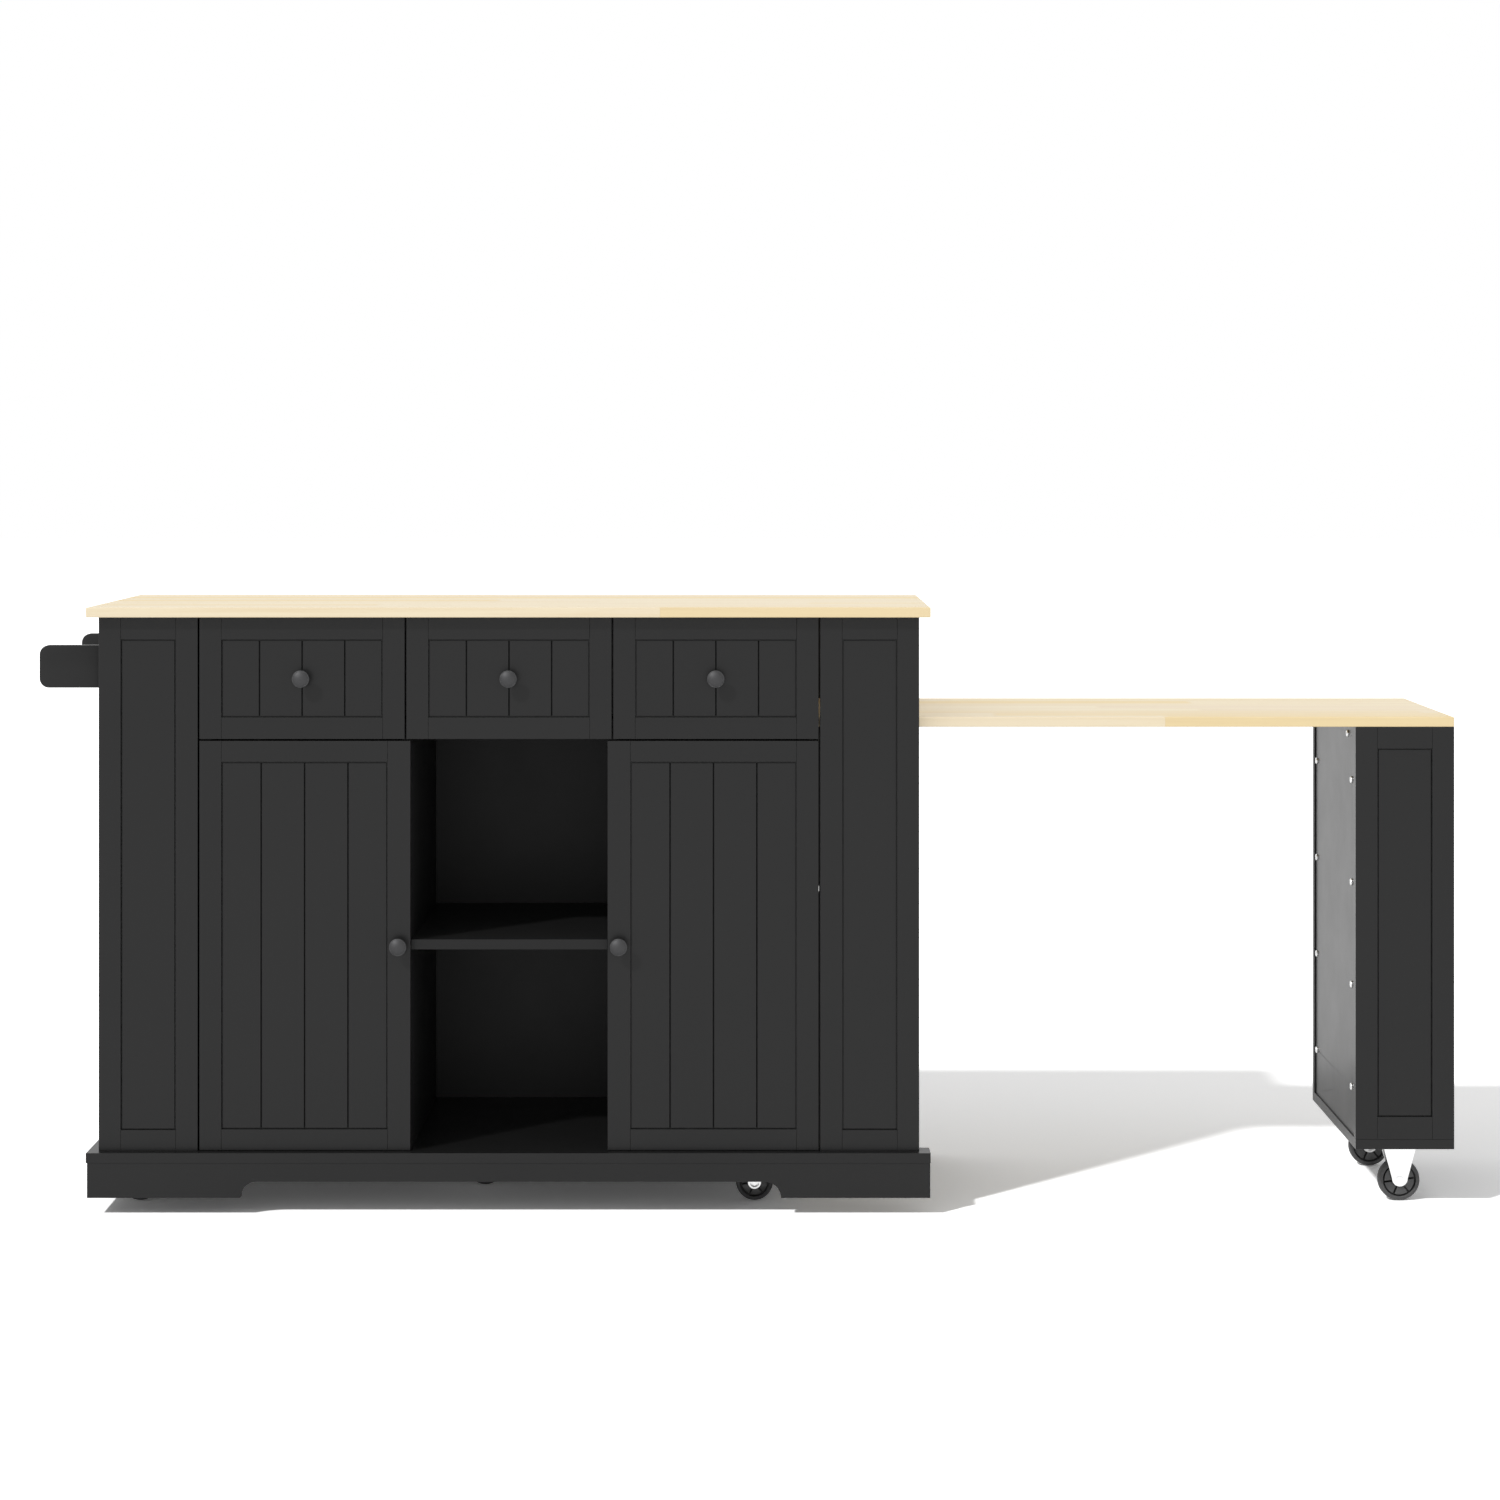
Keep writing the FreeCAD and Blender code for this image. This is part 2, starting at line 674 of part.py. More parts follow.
# Casters


def cheek(top_x, top_z, axle_x, axle_z, y, end_radius):
    """One side plate of a fork: wide at the crown, narrowing to a round end at the axle."""
    end_z = axle_z - cheek_end_drop + end_radius
    outline = [
        (top_x - cheek_top_half_width, top_z),
        (top_x + cheek_top_half_width, top_z),
        (axle_x + end_radius, end_z),
        (axle_x - end_radius, end_z),
    ]
    corners = [FreeCAD.Vector(corner_x, y[0], corner_z) for corner_x, corner_z in outline]
    blade = Part.Face(Part.makePolygon(corners + corners[:1])).extrude(FreeCAD.Vector(0, y[1] - y[0], 0))
    end = rod((axle_x, y[0], end_z), (0, 1, 0), y[1] - y[0], end_radius)
    hole = rod((axle_x, y[0], axle_z), (0, 1, 0), y[1] - y[0], axle_radius + fit_gap)
    return one_solid(blade.fuse(end).cut(hole))


def fork(top_x, top_z, axle_x, axle_z, middle_y, end_radius):
    """Crown, two cheeks and axle of one caster."""
    outer = fork_half_width + cheek_thickness
    crown = block((top_x - cheek_top_half_width, top_x + cheek_top_half_width),
                  (middle_y - outer, middle_y + outer), (top_z - crown_thickness, top_z))
    axle_start = (axle_x, middle_y - outer - axle_overhang, axle_z)
    axle = rod(axle_start, (0, 1, 0), 2 * (outer + axle_overhang), axle_radius)
    cheeks = [cheek(top_x, top_z - crown_thickness, axle_x, axle_z, y, end_radius)
              for y in ((middle_y - outer, middle_y - fork_half_width),
                        (middle_y + fork_half_width, middle_y + outer))]
    return [crown, *cheeks, axle]


def wheel(axle_x, middle_y, radius):
    """A tyre and the core inside it, whose six pads stand out of a thin web."""
    def disc(reach, width):
        return rod((axle_x, middle_y - width / 2, radius), (0, 1, 0), width, reach)

    core_radius = radius - tyre_thickness
    pad_width = wheel_width - 2 * pad_inset
    tyre = disc(radius, wheel_width)
    tyre = tyre.makeFillet(tyre_shoulder, [edge for edge in tyre.Edges if len(edge.Vertexes) == 1])
    tyre = tyre.cut(disc(core_radius, wheel_width))
    pads = disc(core_radius - pad_ring_gap, pad_width).cut(disc(hub_radius, pad_width))
    slot = block((axle_x, axle_x + radius),
                 (middle_y - pad_width / 2, middle_y + pad_width / 2),
                 (radius - pad_slot_width / 2, radius + pad_slot_width / 2))
    middle = FreeCAD.Vector(axle_x, middle_y, radius)
    for turn in range(pad_count):
        cutter = slot.copy()
        cutter.rotate(middle, FreeCAD.Vector(0, 1, 0), 360 / pad_count * (turn + 0.5))
        pads = pads.cut(cutter)
    core = disc(core_radius, web_width).fuse(disc(hub_radius, wheel_width)).fuse(pads)
    core = core.cut(disc(axle_radius + axle_gap, wheel_width))
    return [one_solid(tyre), one_solid(core)]


caster_places = {
    "front_left": (caster_inset_side - body_half, caster_inset_front, -caster_trail),
    "front_right": (divider_outer - caster_inset_side, caster_inset_front, -caster_trail),
    "rear_left": (caster_inset_side - body_half, body_depth - caster_inset_rear, -caster_trail),
    "rear_right": (divider_outer - caster_inset_side, body_depth - caster_inset_rear, -caster_trail),
    "middle": ((divider_outer - body_half) / 2, (body_depth + caster_inset_front - caster_inset_rear) / 2,
               caster_trail),
}
leg_caster_x = (leg_x[0] + leg_x[1]) / 2 + leg_caster_offset
leg_caster_places = {
    "leg_front": table_y[0] + leg_caster_inset,
    "leg_rear": table_y[1] - leg_caster_inset,
}


def swivel_plate(x, y):
    """The plate under the base board with the race that the fork turns in."""
    plate = block((x - plate_half_size, x + plate_half_size), (y - plate_half_size, y + plate_half_size),
                  (plinth_top - plate_thickness, plinth_top))
    race = rod((x, y, plinth_top), (0, 0, -1), plate_thickness + race_height, race_radius)
    hole = rod((x, y, crown_top), (0, 0, 1), race_height + turn_gap, kingpin_radius + turn_gap)
    return one_solid(plate.fuse(race).cut(hole))


def caster_plates():
    return [swivel_plate(x, y) for x, y, trail in caster_places.values()]


def swivel_fork(x, y, trail):
    kingpin = rod((x, y, crown_top), (0, 0, 1), race_height, kingpin_radius)
    return fork(x, crown_top, x + trail, wheel_radius, y, cheek_end_radius) + [kingpin]


def leg_caster_forks():
    """The two forks under the leg, which don't swivel, each on its plate."""
    pieces = []
    for y in leg_caster_places.values():
        plate_x = (leg_caster_x - plate_half_size, leg_caster_x + plate_half_size)
        plate_y = (y - plate_half_size, y + plate_half_size)
        pieces.append(block(plate_x, plate_y, (leg_crown_top, leg_foot)))
        pieces += fork(leg_caster_x, leg_crown_top, leg_caster_x, leg_wheel_radius, y, leg_cheek_end_radius)
    return pieces


# All the pieces, by name

drawer_middles = {"left_drawer": -drawer_pitch, "middle_drawer": 0, "right_drawer": drawer_pitch}

pieces = {
    "worktop": worktop(),
    "base_board": base_board(),
    "front_plinth": front_plinth(),
    "left_and_rear_plinth": left_and_rear_plinth(),
    "left_side_panel": left_side_panel(),
    "left_divider": left_divider(),
    "right_divider": right_divider(),
    "niche_dividers": niche_dividers(),
    "deck_board": deck_board(),
    "drawer_partitions": drawer_partitions(),
    "back_panel": back_panel(),
    "shelves": shelves(),
    "pins_and_screws": pins_and_screws(),
    "left_column": column(-1),
    "right_column": column(1),
    "table_guide": table_guide(),
    "towel_brackets": towel_brackets(),
    "towel_rod": towel_rod(),
    "hinge_arms": hinge_arms(),
    "drawer_rails": drawer_rails(drawer_middles.values()),
    "caster_plates": caster_plates(),
    "table_top": table_top(),
    "leg_front_column": leg_front_column(),
    "leg_rear_board": leg_rear_board(),
    "leg_base_board": leg_base_board(),
    "leg_back_panel": leg_back_panel(),
    "leg_shelves": leg_shelves(),
    "leg_top_cleat": leg_top_cleat(),
    "leg_screws": leg_screws(),
    "leg_caster_forks": leg_caster_forks(),
}

door_knob_x = niche_half + knob_stile_width / 2
for door_name, side in (("left_door", -1), ("right_door", 1)):
    pieces[door_name] = door(side)
    pieces[door_name + "_knob"] = [knob(side * door_knob_x, 0, door_knob_height)]
    pieces[door_name + "_hinge_cups"] = hinge_cups(side, cup_radius, cup_depth)

for drawer_name, middle in drawer_middles.items():
    pieces[drawer_name + "_front"] = drawer_front(middle)
    pieces[drawer_name + "_box"] = drawer_box(middle)
    pieces[drawer_name + "_knob"] = [knob(middle, panel_recess, (drawer_front_z[0] + drawer_front_z[1]) / 2)]
    pieces[drawer_name + "_runners"] = drawer_runners(middle)

for caster_name, (x, y, trail) in caster_places.items():
    pieces[caster_name + "_fork"] = swivel_fork(x, y, trail)
    pieces[caster_name + "_wheel"] = wheel(x + trail, y, wheel_radius)

for caster_name, y in leg_caster_places.items():
    pieces[caster_name + "_wheel"] = wheel(leg_caster_x, y, leg_wheel_radius)

os.makedirs("parts", exist_ok=True)
finished = []
for name, solids in pieces.items():
    shape = solids[0] if len(solids) == 1 else Part.makeCompound(solids)
    shape.translate(-origin)
    shape.exportStep(os.path.join("parts", name + ".step"))
    finished.append(shape)

whole = Part.makeCompound(finished)
box = whole.BoundBox
print("pieces", len(pieces), "solids", len(whole.Solids))
print("origin in the cabinet's own frame", origin)
print("box", box.XMin, box.XMax, box.YMin, box.YMax, box.ZMin, box.ZMax)
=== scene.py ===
# %% [markdown]
# # A rolling kitchen island in satin black and pale wood
# This lesson dresses a measured model. The boards, hinges, drawers and casters already exist as
# solids that move with named bodies, so nothing here is placed by eye. What is left is what a viewer
# judges: how each surface takes light, and the small turned and pressed parts that a plain solid
# only hints at. Lengths are in metres, X runs to the right, Y to the back and Z up.

# %% Load the frame
import math

import bmesh
import bpy
from mathutils import Matrix, Vector


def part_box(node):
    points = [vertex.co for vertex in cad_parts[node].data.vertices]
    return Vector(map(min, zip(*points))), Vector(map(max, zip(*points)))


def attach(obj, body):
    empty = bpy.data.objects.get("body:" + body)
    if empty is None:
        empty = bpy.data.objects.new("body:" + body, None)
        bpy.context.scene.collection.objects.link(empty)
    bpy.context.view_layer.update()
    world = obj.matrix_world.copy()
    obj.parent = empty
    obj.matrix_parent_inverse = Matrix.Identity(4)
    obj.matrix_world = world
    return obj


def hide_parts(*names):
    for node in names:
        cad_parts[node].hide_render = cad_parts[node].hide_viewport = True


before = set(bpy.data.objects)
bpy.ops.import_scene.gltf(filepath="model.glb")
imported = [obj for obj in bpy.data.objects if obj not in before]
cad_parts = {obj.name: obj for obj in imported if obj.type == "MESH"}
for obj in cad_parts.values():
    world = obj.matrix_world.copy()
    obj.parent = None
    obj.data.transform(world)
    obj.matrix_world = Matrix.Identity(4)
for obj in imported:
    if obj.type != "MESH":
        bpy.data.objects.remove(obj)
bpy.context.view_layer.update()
MM = 0.001


def put_in_scene(data):
    """Puts a camera, a lamp or a mesh into the scene as an object of the same name."""
    thing = bpy.data.objects.new(data.name, data)
    bpy.context.scene.collection.objects.link(thing)
    return thing


# %% [markdown]
# ## The camera
# The photograph's uprights are exactly upright, although it was taken from above the middle of the
# picture. A tilted camera would make them lean. So the camera looks straight along +Y, and its frame
# is shifted down by a fifth of its width, as is done for pictures of buildings. Its place and lens
# were solved from the edges that run to the back and from the usual height of a worktop.

# %% Camera
lens = bpy.data.cameras.new("portrait_camera")
lens.lens = 84.12     # millimetres, as is the sensor
lens.sensor_width = 36
lens.shift_y = -0.2   # of the frame's width
lens.clip_end = 100
camera = put_in_scene(lens)
camera.location = Vector((5.95 * MM, -5531 * MM, 1158.4 * MM))
camera.rotation_euler = (math.pi / 2, 0, 0)
bpy.context.scene.camera = camera
bpy.context.scene.view_settings.view_transform = "Standard"
print("camera", camera.location[:], "lens", lens.lens)

# %% [markdown]
# ## Helpers for shader graphs
# A material here is a graph of nodes. Writing each node's creation, its values and its links out in
# full makes pages that nobody reads, so a few small helpers do it. The first feeds a socket from
# a plain value or from another node's output, and the others add a node or a step of arithmetic.
# Everything after this can then be read as a recipe.

# %% Nodes and arithmetic
def join(tree, value, socket):
    """Feeds a socket from a node's output, or sets it to a plain value."""
    if isinstance(value, bpy.types.NodeSocket):
        tree.links.new(value, socket)
    else:
        socket.default_value = value


def add_node(tree, kind, settings=None, **sockets):
    """Adds a ShaderNode of a kind. Settings are its properties; sockets are values or outputs."""
    node = tree.nodes.new("ShaderNode" + kind)
    for key, value in (settings or {}).items():
        setattr(node, key, value)
    for key, value in sockets.items():
        wanted = key.replace("_", " ").lower()
        join(tree, value, next(s for s in node.inputs if s.name.lower() == wanted and s.enabled))
    return node


def maths(tree, operation, first, second=0.0, clamp=False):
    """One arithmetic step on values or outputs."""
    node = add_node(tree, "Math", {"operation": operation, "use_clamp": clamp})
    join(tree, first, node.inputs[0])
    join(tree, second, node.inputs[1])
    return node.outputs[0]


def times(tree, first, second, clamp=False):
    return maths(tree, "MULTIPLY", first, second, clamp)


def ramp(tree, value, start, gain):
    """0 up to a start value, then rising by the gain to 1."""
    return times(tree, maths(tree, "SUBTRACT", value, start), gain, clamp=True)


print("arithmetic ready")

# %% [markdown]
# A finish is built up as on a bench: a first tint, then stains over it, each only where a mask lets
# it through. Most masks start from a noise that is fixed to the object.

# %% Colours, stains and noise
MIX_AMOUNT, MIX_FIRST, MIX_SECOND, MIX_RESULT = 0, 6, 7, 2  # a Mix node's sockets for colours


def colour(red, green, blue):
    return (red, green, blue, 1.0)


def grey(value):
    return colour(value, value, value)


def blend_colours(tree, amount, first, second):
    node = add_node(tree, "Mix", {"data_type": "RGBA"})
    for place, value in ((MIX_AMOUNT, amount), (MIX_FIRST, first), (MIX_SECOND, second)):
        join(tree, value, node.inputs[place])
    return node.outputs[MIX_RESULT]


def stain(tree, tint, mask, share, over):
    """Lays one colour over another where a mask says, at a share of its strength."""
    return blend_colours(tree, times(tree, mask, share), tint, over)


def object_place(tree):
    return add_node(tree, "TexCoord").outputs["Object"]


def object_noise(tree, **values):
    return add_node(tree, "TexNoise", Vector=object_place(tree), **values).outputs[0]


print("black", grey(0.0))

# %% [markdown]
# ## Three effects that several finishes share
# **Edge wear.** Paint is thinnest on a sharp edge, so handling shows there first. The Bevel node
# gives the normal of a surface with rounded edges; where that differs from the true one there is an
# edge. A noise breaks the line up, because wear is never even.
#
# **Sprayed skin.** A sprayed coat dries in shallow pebbles about a millimetre wide, over much wider,
# weaker waves. The group gives both as a height, and a slow cloud for the colour.
#
# **Handling.** Fingers leave a surface glossier in some places than in others. A noise stands for
# that and only ever reaches the roughness.

# %% Groups and edge wear
def new_group(name, inputs, outputs):
    """An empty node group, and its sockets as seen from inside."""
    tree = bpy.data.node_groups.new(name, "ShaderNodeTree")
    for label, value in inputs.items():
        socket = tree.interface.new_socket(label, in_out="INPUT", socket_type="NodeSocketFloat")
        socket.default_value = value
    for label in outputs:
        tree.interface.new_socket(label, in_out="OUTPUT", socket_type="NodeSocketFloat")
    return tree, tree.nodes.new("NodeGroupInput").outputs, tree.nodes.new("NodeGroupOutput").inputs


def place_group(tree, group, **values):
    """Puts a group into a graph with its own values; gives its outputs."""
    return add_node(tree, "Group", {"node_tree": group}, **values).outputs


def make_edge_wear():
    tree, source, result = new_group("edge_wear", {"Radius": 0.001, "Breakup": 90.0}, ["Mask"])
    rounded = add_node(tree, "Bevel", {"samples": 4}, Radius=source["Radius"])
    true = add_node(tree, "NewGeometry")
    agreement = add_node(tree, "VectorMath", {"operation": "DOT_PRODUCT"})
    join(tree, rounded.outputs["Normal"], agreement.inputs[0])
    join(tree, true.outputs["Normal"], agreement.inputs[1])
    difference = maths(tree, "SUBTRACT", 1.0, agreement.outputs["Value"])
    edge = ramp(tree, difference, start=0.0, gain=6.0)
    broken = ramp(tree, object_noise(tree, Scale=source["Breakup"], Detail=3.0), start=0.38, gain=5.0)
    join(tree, times(tree, edge, broken), result["Mask"])
    return tree


EDGE_WEAR = make_edge_wear()
print("group", EDGE_WEAR.name)


# %% Sprayed skin and handling
PEBBLE_SHARE, WAVE_SHARE = 0.6, 0.4


def make_sprayed_skin():
    tree, source, result = new_group("sprayed_skin", {"Pebbles": 700.0, "Waves": 35.0},
                                     ["Height", "Cloud"])
    pebbles = object_noise(tree, Scale=source["Pebbles"], Detail=2.0)
    waves = object_noise(tree, Scale=source["Waves"], Detail=2.0)
    height = maths(tree, "ADD", times(tree, pebbles, PEBBLE_SHARE), times(tree, waves, WAVE_SHARE))
    join(tree, height, result["Height"])
    join(tree, object_noise(tree, Scale=4.0, Detail=3.0), result["Cloud"])
    return tree


def make_handling():
    tree, source, result = new_group("handling", {"Base": 0.4, "Spread": 0.1, "Size": 12.0},
                                     ["Roughness"])
    smear = object_noise(tree, Scale=source["Size"], Detail=5.0, Roughness=0.65)
    swing = times(tree, maths(tree, "SUBTRACT", smear, 0.5), source["Spread"])
    join(tree, maths(tree, "ADD", source["Base"], swing), result["Roughness"])
    return tree


SPRAYED_SKIN = make_sprayed_skin()
HANDLING = make_handling()
print("groups", [group.name for group in bpy.data.node_groups])

# %% [markdown]
# ## A finish's frame
# Every finish below ends in one Principled shader. One helper makes the material with it, and the
# last one feeds it: a colour, a roughness, and a height that becomes a bump. Between them is the
# coat that paint, enamel, gunmetal and plastic share: two close tints that drift into each other,
# and a third on worn edges.

# %% Material, coat and shader
def new_material(name, metallic=0.0, specular=0.5):
    """A material with a Principled shader, and its graph."""
    material = bpy.data.materials.new(name)
    material.use_nodes = True
    sockets = material.node_tree.nodes["Principled BSDF"].inputs
    sockets["Metallic"].default_value = metallic
    sockets["Specular IOR Level"].default_value = specular
    return material, material.node_tree


def coat(tree, dark, light, skin, wear=None, worn_share=0.0, worn_tint=None):
    """The colour and the height of a coat; skin and wear are the values of those groups."""
    surface = place_group(tree, SPRAYED_SKIN, **skin)
    tint = blend_colours(tree, surface["Cloud"], dark, light)
    if wear:
        tint = stain(tree, tint, place_group(tree, EDGE_WEAR, **wear)["Mask"], worn_share, worn_tint)
    return tint, surface["Height"]


def handled(tree, base, spread, size=12.0):
    return place_group(tree, HANDLING, Base=base, Spread=spread, Size=size)["Roughness"]


def feed(material, tint, gloss, height, depth):
    """Feeds a material's shader, with a relief of a depth in metres; gives the material."""
    tree = material.node_tree
    bump = add_node(tree, "Bump", Strength=1.0, Distance=depth, Height=height)
    sockets = tree.nodes["Principled BSDF"].inputs
    join(tree, tint, sockets["Base Color"])
    join(tree, gloss, sockets["Roughness"])
    join(tree, bump.outputs["Normal"], sockets["Normal"])
    return material


print("materials so far", len(bpy.data.materials))

# %% [markdown]
# ## Satin black paint
# The real fronts are board, primed and sprayed charcoal. It could be a single dark colour, but then
# the big flat leg and columns look like cut-outs. So the colour drifts a little, the gloss varies
# with handling, the pebbled skin breaks up the highlights, and a trace of grey shows on the edges.
# Carcass boards have a duller factory foil, so they share the recipe with other values.

# %% Paint and foil
PAINT_DARK = colour(0.0090, 0.0090, 0.0091)
PAINT_LIGHT = colour(0.0112, 0.0112, 0.0113)
PAINT_EDGE = colour(0.045, 0.045, 0.0445)


def black_paint(name, roughness, specular, pebble_depth, worn_share):
    material, tree = new_material(name, specular=specular)
    tint, height = coat(tree, PAINT_DARK, PAINT_LIGHT, {}, {"Radius": 0.0008}, worn_share, PAINT_EDGE)
    return feed(material, tint, handled(tree, roughness, 0.08), height, pebble_depth)


satin_paint = black_paint("satin_black_paint", 0.34, 0.29, 0.00004, 0.35)
carcass_foil = black_paint("black_carcass_foil", 0.46, 0.25, 0.00003, 0.15)
print("paints", satin_paint.name, carcass_foil.name)

# %% [markdown]
# ## Finger-jointed rubberwood
# The tops are glued up from narrow staves of pale rubberwood. Each has its own tint and grain, and
# along its length it is made of blocks whose ends mesh like fingers. A picture could supply that, but
# a graph can be asked for any stave width and never repeats.
#
# The layout comes first: number the rows across the depth, shift each by a random length, number the
# blocks along it, and push their ends to and fro with a zigzag for the fingers. Each block then
# draws a chance value, which chooses its tint and its place in the grain.

# %% Staves and blocks
STAVE_WIDTH = 0.052
BLOCK_LENGTH = 0.95
FINGER_PITCH, FINGER_REACH = 0.0075, 0.011
ROW_SHIFT = 7.0  # the most that chance moves a row along the board
JOINT_SEED, TINT_SEED = 213.0, 19.0


def block_layout(tree, along, across):
    """The place counted in rows and in blocks, and the block's chance value."""
    row_place = maths(tree, "DIVIDE", across, STAVE_WIDTH)
    row = maths(tree, "FLOOR", row_place)
    row_chance = add_node(tree, "TexWhiteNoise", {"noise_dimensions": "1D"},
                          W=maths(tree, "ADD", row, JOINT_SEED))
    zigzag = maths(tree, "PINGPONG", across, FINGER_PITCH / 2)
    fingers = times(tree, zigzag, 2 * FINGER_REACH / FINGER_PITCH)
    shifted = maths(tree, "ADD", maths(tree, "ADD", along, fingers),
                    times(tree, row_chance.outputs["Value"], ROW_SHIFT))
    block_place = maths(tree, "DIVIDE", shifted, BLOCK_LENGTH)
    number = add_node(tree, "CombineXYZ", X=maths(tree, "ADD", row, TINT_SEED),
                      Y=maths(tree, "FLOOR", block_place))
    chance = add_node(tree, "TexWhiteNoise", {"noise_dimensions": "2D"},
                      Vector=number.outputs[0])
    return row_place, block_place, chance.outputs["Value"]


def glue_line(tree, place, share):
    """1 within a share of a row's or block's size from its ends, else 0."""
    return maths(tree, "LESS_THAN", maths(tree, "PINGPONG", maths(tree, "FRACT", place), 0.5), share)


print("staves", STAVE_WIDTH, "m wide, blocks", BLOCK_LENGTH, "m long")

# %% [markdown]
# The grain is noise stretched along the board, so it runs out as freckles on the ends, as end grain
# does. Over it lie the curved rings that a plank cut beside the heart shows: the contour lines of a
# slower noise. Pores are a third, very fine one. Along all its edges the wood is made a little darker.

# %% Rubberwood
WOOD_PALE = colour(0.88, 0.765, 0.55)
WOOD_WARM = colour(0.855, 0.69, 0.40)
WOOD_CREAM = colour(0.885, 0.79, 0.60)
WOOD_ROSE = colour(0.83, 0.70, 0.53)
GRAIN_TINT = colour(0.74, 0.56, 0.32)
BLOCK_SHIFT = 40.0  # the most that chance moves a block's grain
RING_COUNT = 11.0   # contour lines over the range of the slow noise


def stretched_noise(tree, axes, along, across, shift=0.0, **values):
    """A noise stretched along the board; along and across are its steps per metre."""
    place = add_node(tree, "CombineXYZ", X=times(tree, axes["X"], along),
                     Y=maths(tree, "ADD", times(tree, axes["Y"], across), shift),
                     Z=times(tree, axes["Z"], across))
    return add_node(tree, "TexNoise", Vector=place.outputs[0], Scale=1.0, **values).outputs[0]


def rubberwood():
    material, tree = new_material("pale_rubberwood", specular=0.24)
    axes = add_node(tree, "SeparateXYZ", Vector=object_place(tree)).outputs
    row_place, block_place, chance = block_layout(tree, axes["X"], axes["Y"])
    shift = times(tree, chance, BLOCK_SHIFT)
    grain = stretched_noise(tree, axes, 2.2, 75.0, shift, Detail=6.0, Roughness=0.62, Distortion=0.35)
    slow = stretched_noise(tree, axes, 0.9, 26.0, shift, Detail=2.0)
    pores = ramp(tree, stretched_noise(tree, axes, 90.0, 1500.0, Detail=2.0), start=0.60, gain=5.0)
    rings = maths(tree, "PINGPONG", times(tree, slow, RING_COUNT), 0.5)
    seam = maths(tree, "MAXIMUM", glue_line(tree, row_place, 0.0055),
                 glue_line(tree, block_place, 0.0006))
    # A mask along every edge, where the wood is made a little darker.
    darkened_edge = place_group(tree, EDGE_WEAR, Radius=0.0025, Breakup=18.0)["Mask"]

    tint = blend_colours(tree, chance, WOOD_PALE, WOOD_CREAM)
    for mask, share, over in ((ramp(tree, slow, start=0.44, gain=3.2), 0.75, WOOD_ROSE),
                              (ramp(tree, chance, start=0.60, gain=3.0), 1.0, WOOD_WARM),
                              (ramp(tree, rings, start=0.30, gain=3.0), 0.16, GRAIN_TINT),
                              (ramp(tree, grain, start=0.46, gain=1.1), 1.0, GRAIN_TINT),
                              (pores, 0.22, GRAIN_TINT), (seam, 0.28, GRAIN_TINT),
                              (darkened_edge, 0.5, GRAIN_TINT)):
        tint = stain(tree, tint, mask, share, over)
    hollows = maths(tree, "ADD", times(tree, pores, 0.5), times(tree, seam, 0.4))
    relief = maths(tree, "SUBTRACT", times(tree, grain, 0.35), hollows)
    return feed(material, tint, handled(tree, 0.5, 0.14), relief, depth=0.00012)


pale_wood = rubberwood()
print("wood", pale_wood.name, "nodes", len(pale_wood.node_tree.nodes))

# %% [markdown]
# ## Metals
# Fork, plate, hinge, runner and screw are pressed steel with bright zinc: a cold, slightly cloudy
# metal whose crystals show as faint patches of different gloss. The knobs are cast, in a dark
# gunmetal that is rubbed paler on its rim. The towel rod is black enamel. All three need
# surroundings to reflect, which the studio at the end supplies.

# %% Zinc, gunmetal and enamel
def bright_zinc():
    material, tree = new_material("bright_zinc", metallic=1.0)
    crystals = add_node(tree, "TexVoronoi", Vector=object_place(tree), Scale=140.0)
    patch = add_node(tree, "SeparateColor", Color=crystals.outputs["Color"]).outputs
    tint = blend_colours(tree, patch["Red"], colour(0.955, 0.957, 0.96), colour(0.985, 0.985, 0.986))
    worn = place_group(tree, EDGE_WEAR, Radius=0.0006, Breakup=160.0)["Mask"]
    tint = stain(tree, tint, worn, 0.5, grey(0.99))
    gloss = maths(tree, "ADD", 0.27, times(tree, patch["Green"], 0.04))
    skin = place_group(tree, SPRAYED_SKIN, Pebbles=250.0, Waves=40.0)
    return feed(material, tint, gloss, skin["Height"], depth=0.00001)


def gunmetal():
    material, tree = new_material("dark_gunmetal", metallic=1.0)
    tint, height = coat(tree, colour(0.062, 0.062, 0.064), colour(0.08, 0.08, 0.082),
                        {"Pebbles": 1200.0, "Waves": 150.0},
                        {"Radius": 0.0009, "Breakup": 220.0}, 0.45, grey(0.24))
    return feed(material, tint, handled(tree, 0.58, 0.12, size=180.0), height, depth=0.00002)


def black_enamel():
    material, tree = new_material("black_enamel")
    tint, height = coat(tree, colour(0.022, 0.022, 0.023), colour(0.03, 0.03, 0.031), {"Pebbles": 500.0})
    return feed(material, tint, handled(tree, 0.26, 0.1, size=40.0), height, depth=0.00003)


zinc = bright_zinc()
knob_metal = gunmetal()
enamel = black_enamel()
print("metals", zinc.name, knob_metal.name, enamel.name)

# %% [markdown]
# ## Rubber and moulded plastic
# A caster wheel is two materials: a hard grey-black core and a softer tyre round it. The tyre is
# duller and has dust rubbed into it; the core has the faint, even grain of a mould and brighter
# corners. Its narrow slots get painted shade: an occlusion test, which asks how much of the sky a
# point could see, turns the colour down there to stand for the shade inside them.

# %% Tyre and core
def tyre_rubber():
    material, tree = new_material("grey_tyre_rubber", specular=0.35)
    dusty = ramp(tree, object_noise(tree, Scale=160.0, Detail=4.0), start=0.5, gain=2.2)
    tint = blend_colours(tree, dusty, colour(0.09, 0.09, 0.091), colour(0.125, 0.124, 0.122))
    skin = place_group(tree, SPRAYED_SKIN, Pebbles=1500.0, Waves=220.0)
    return feed(material, tint, handled(tree, 0.68, 0.2, size=120.0), skin["Height"], depth=0.0001)


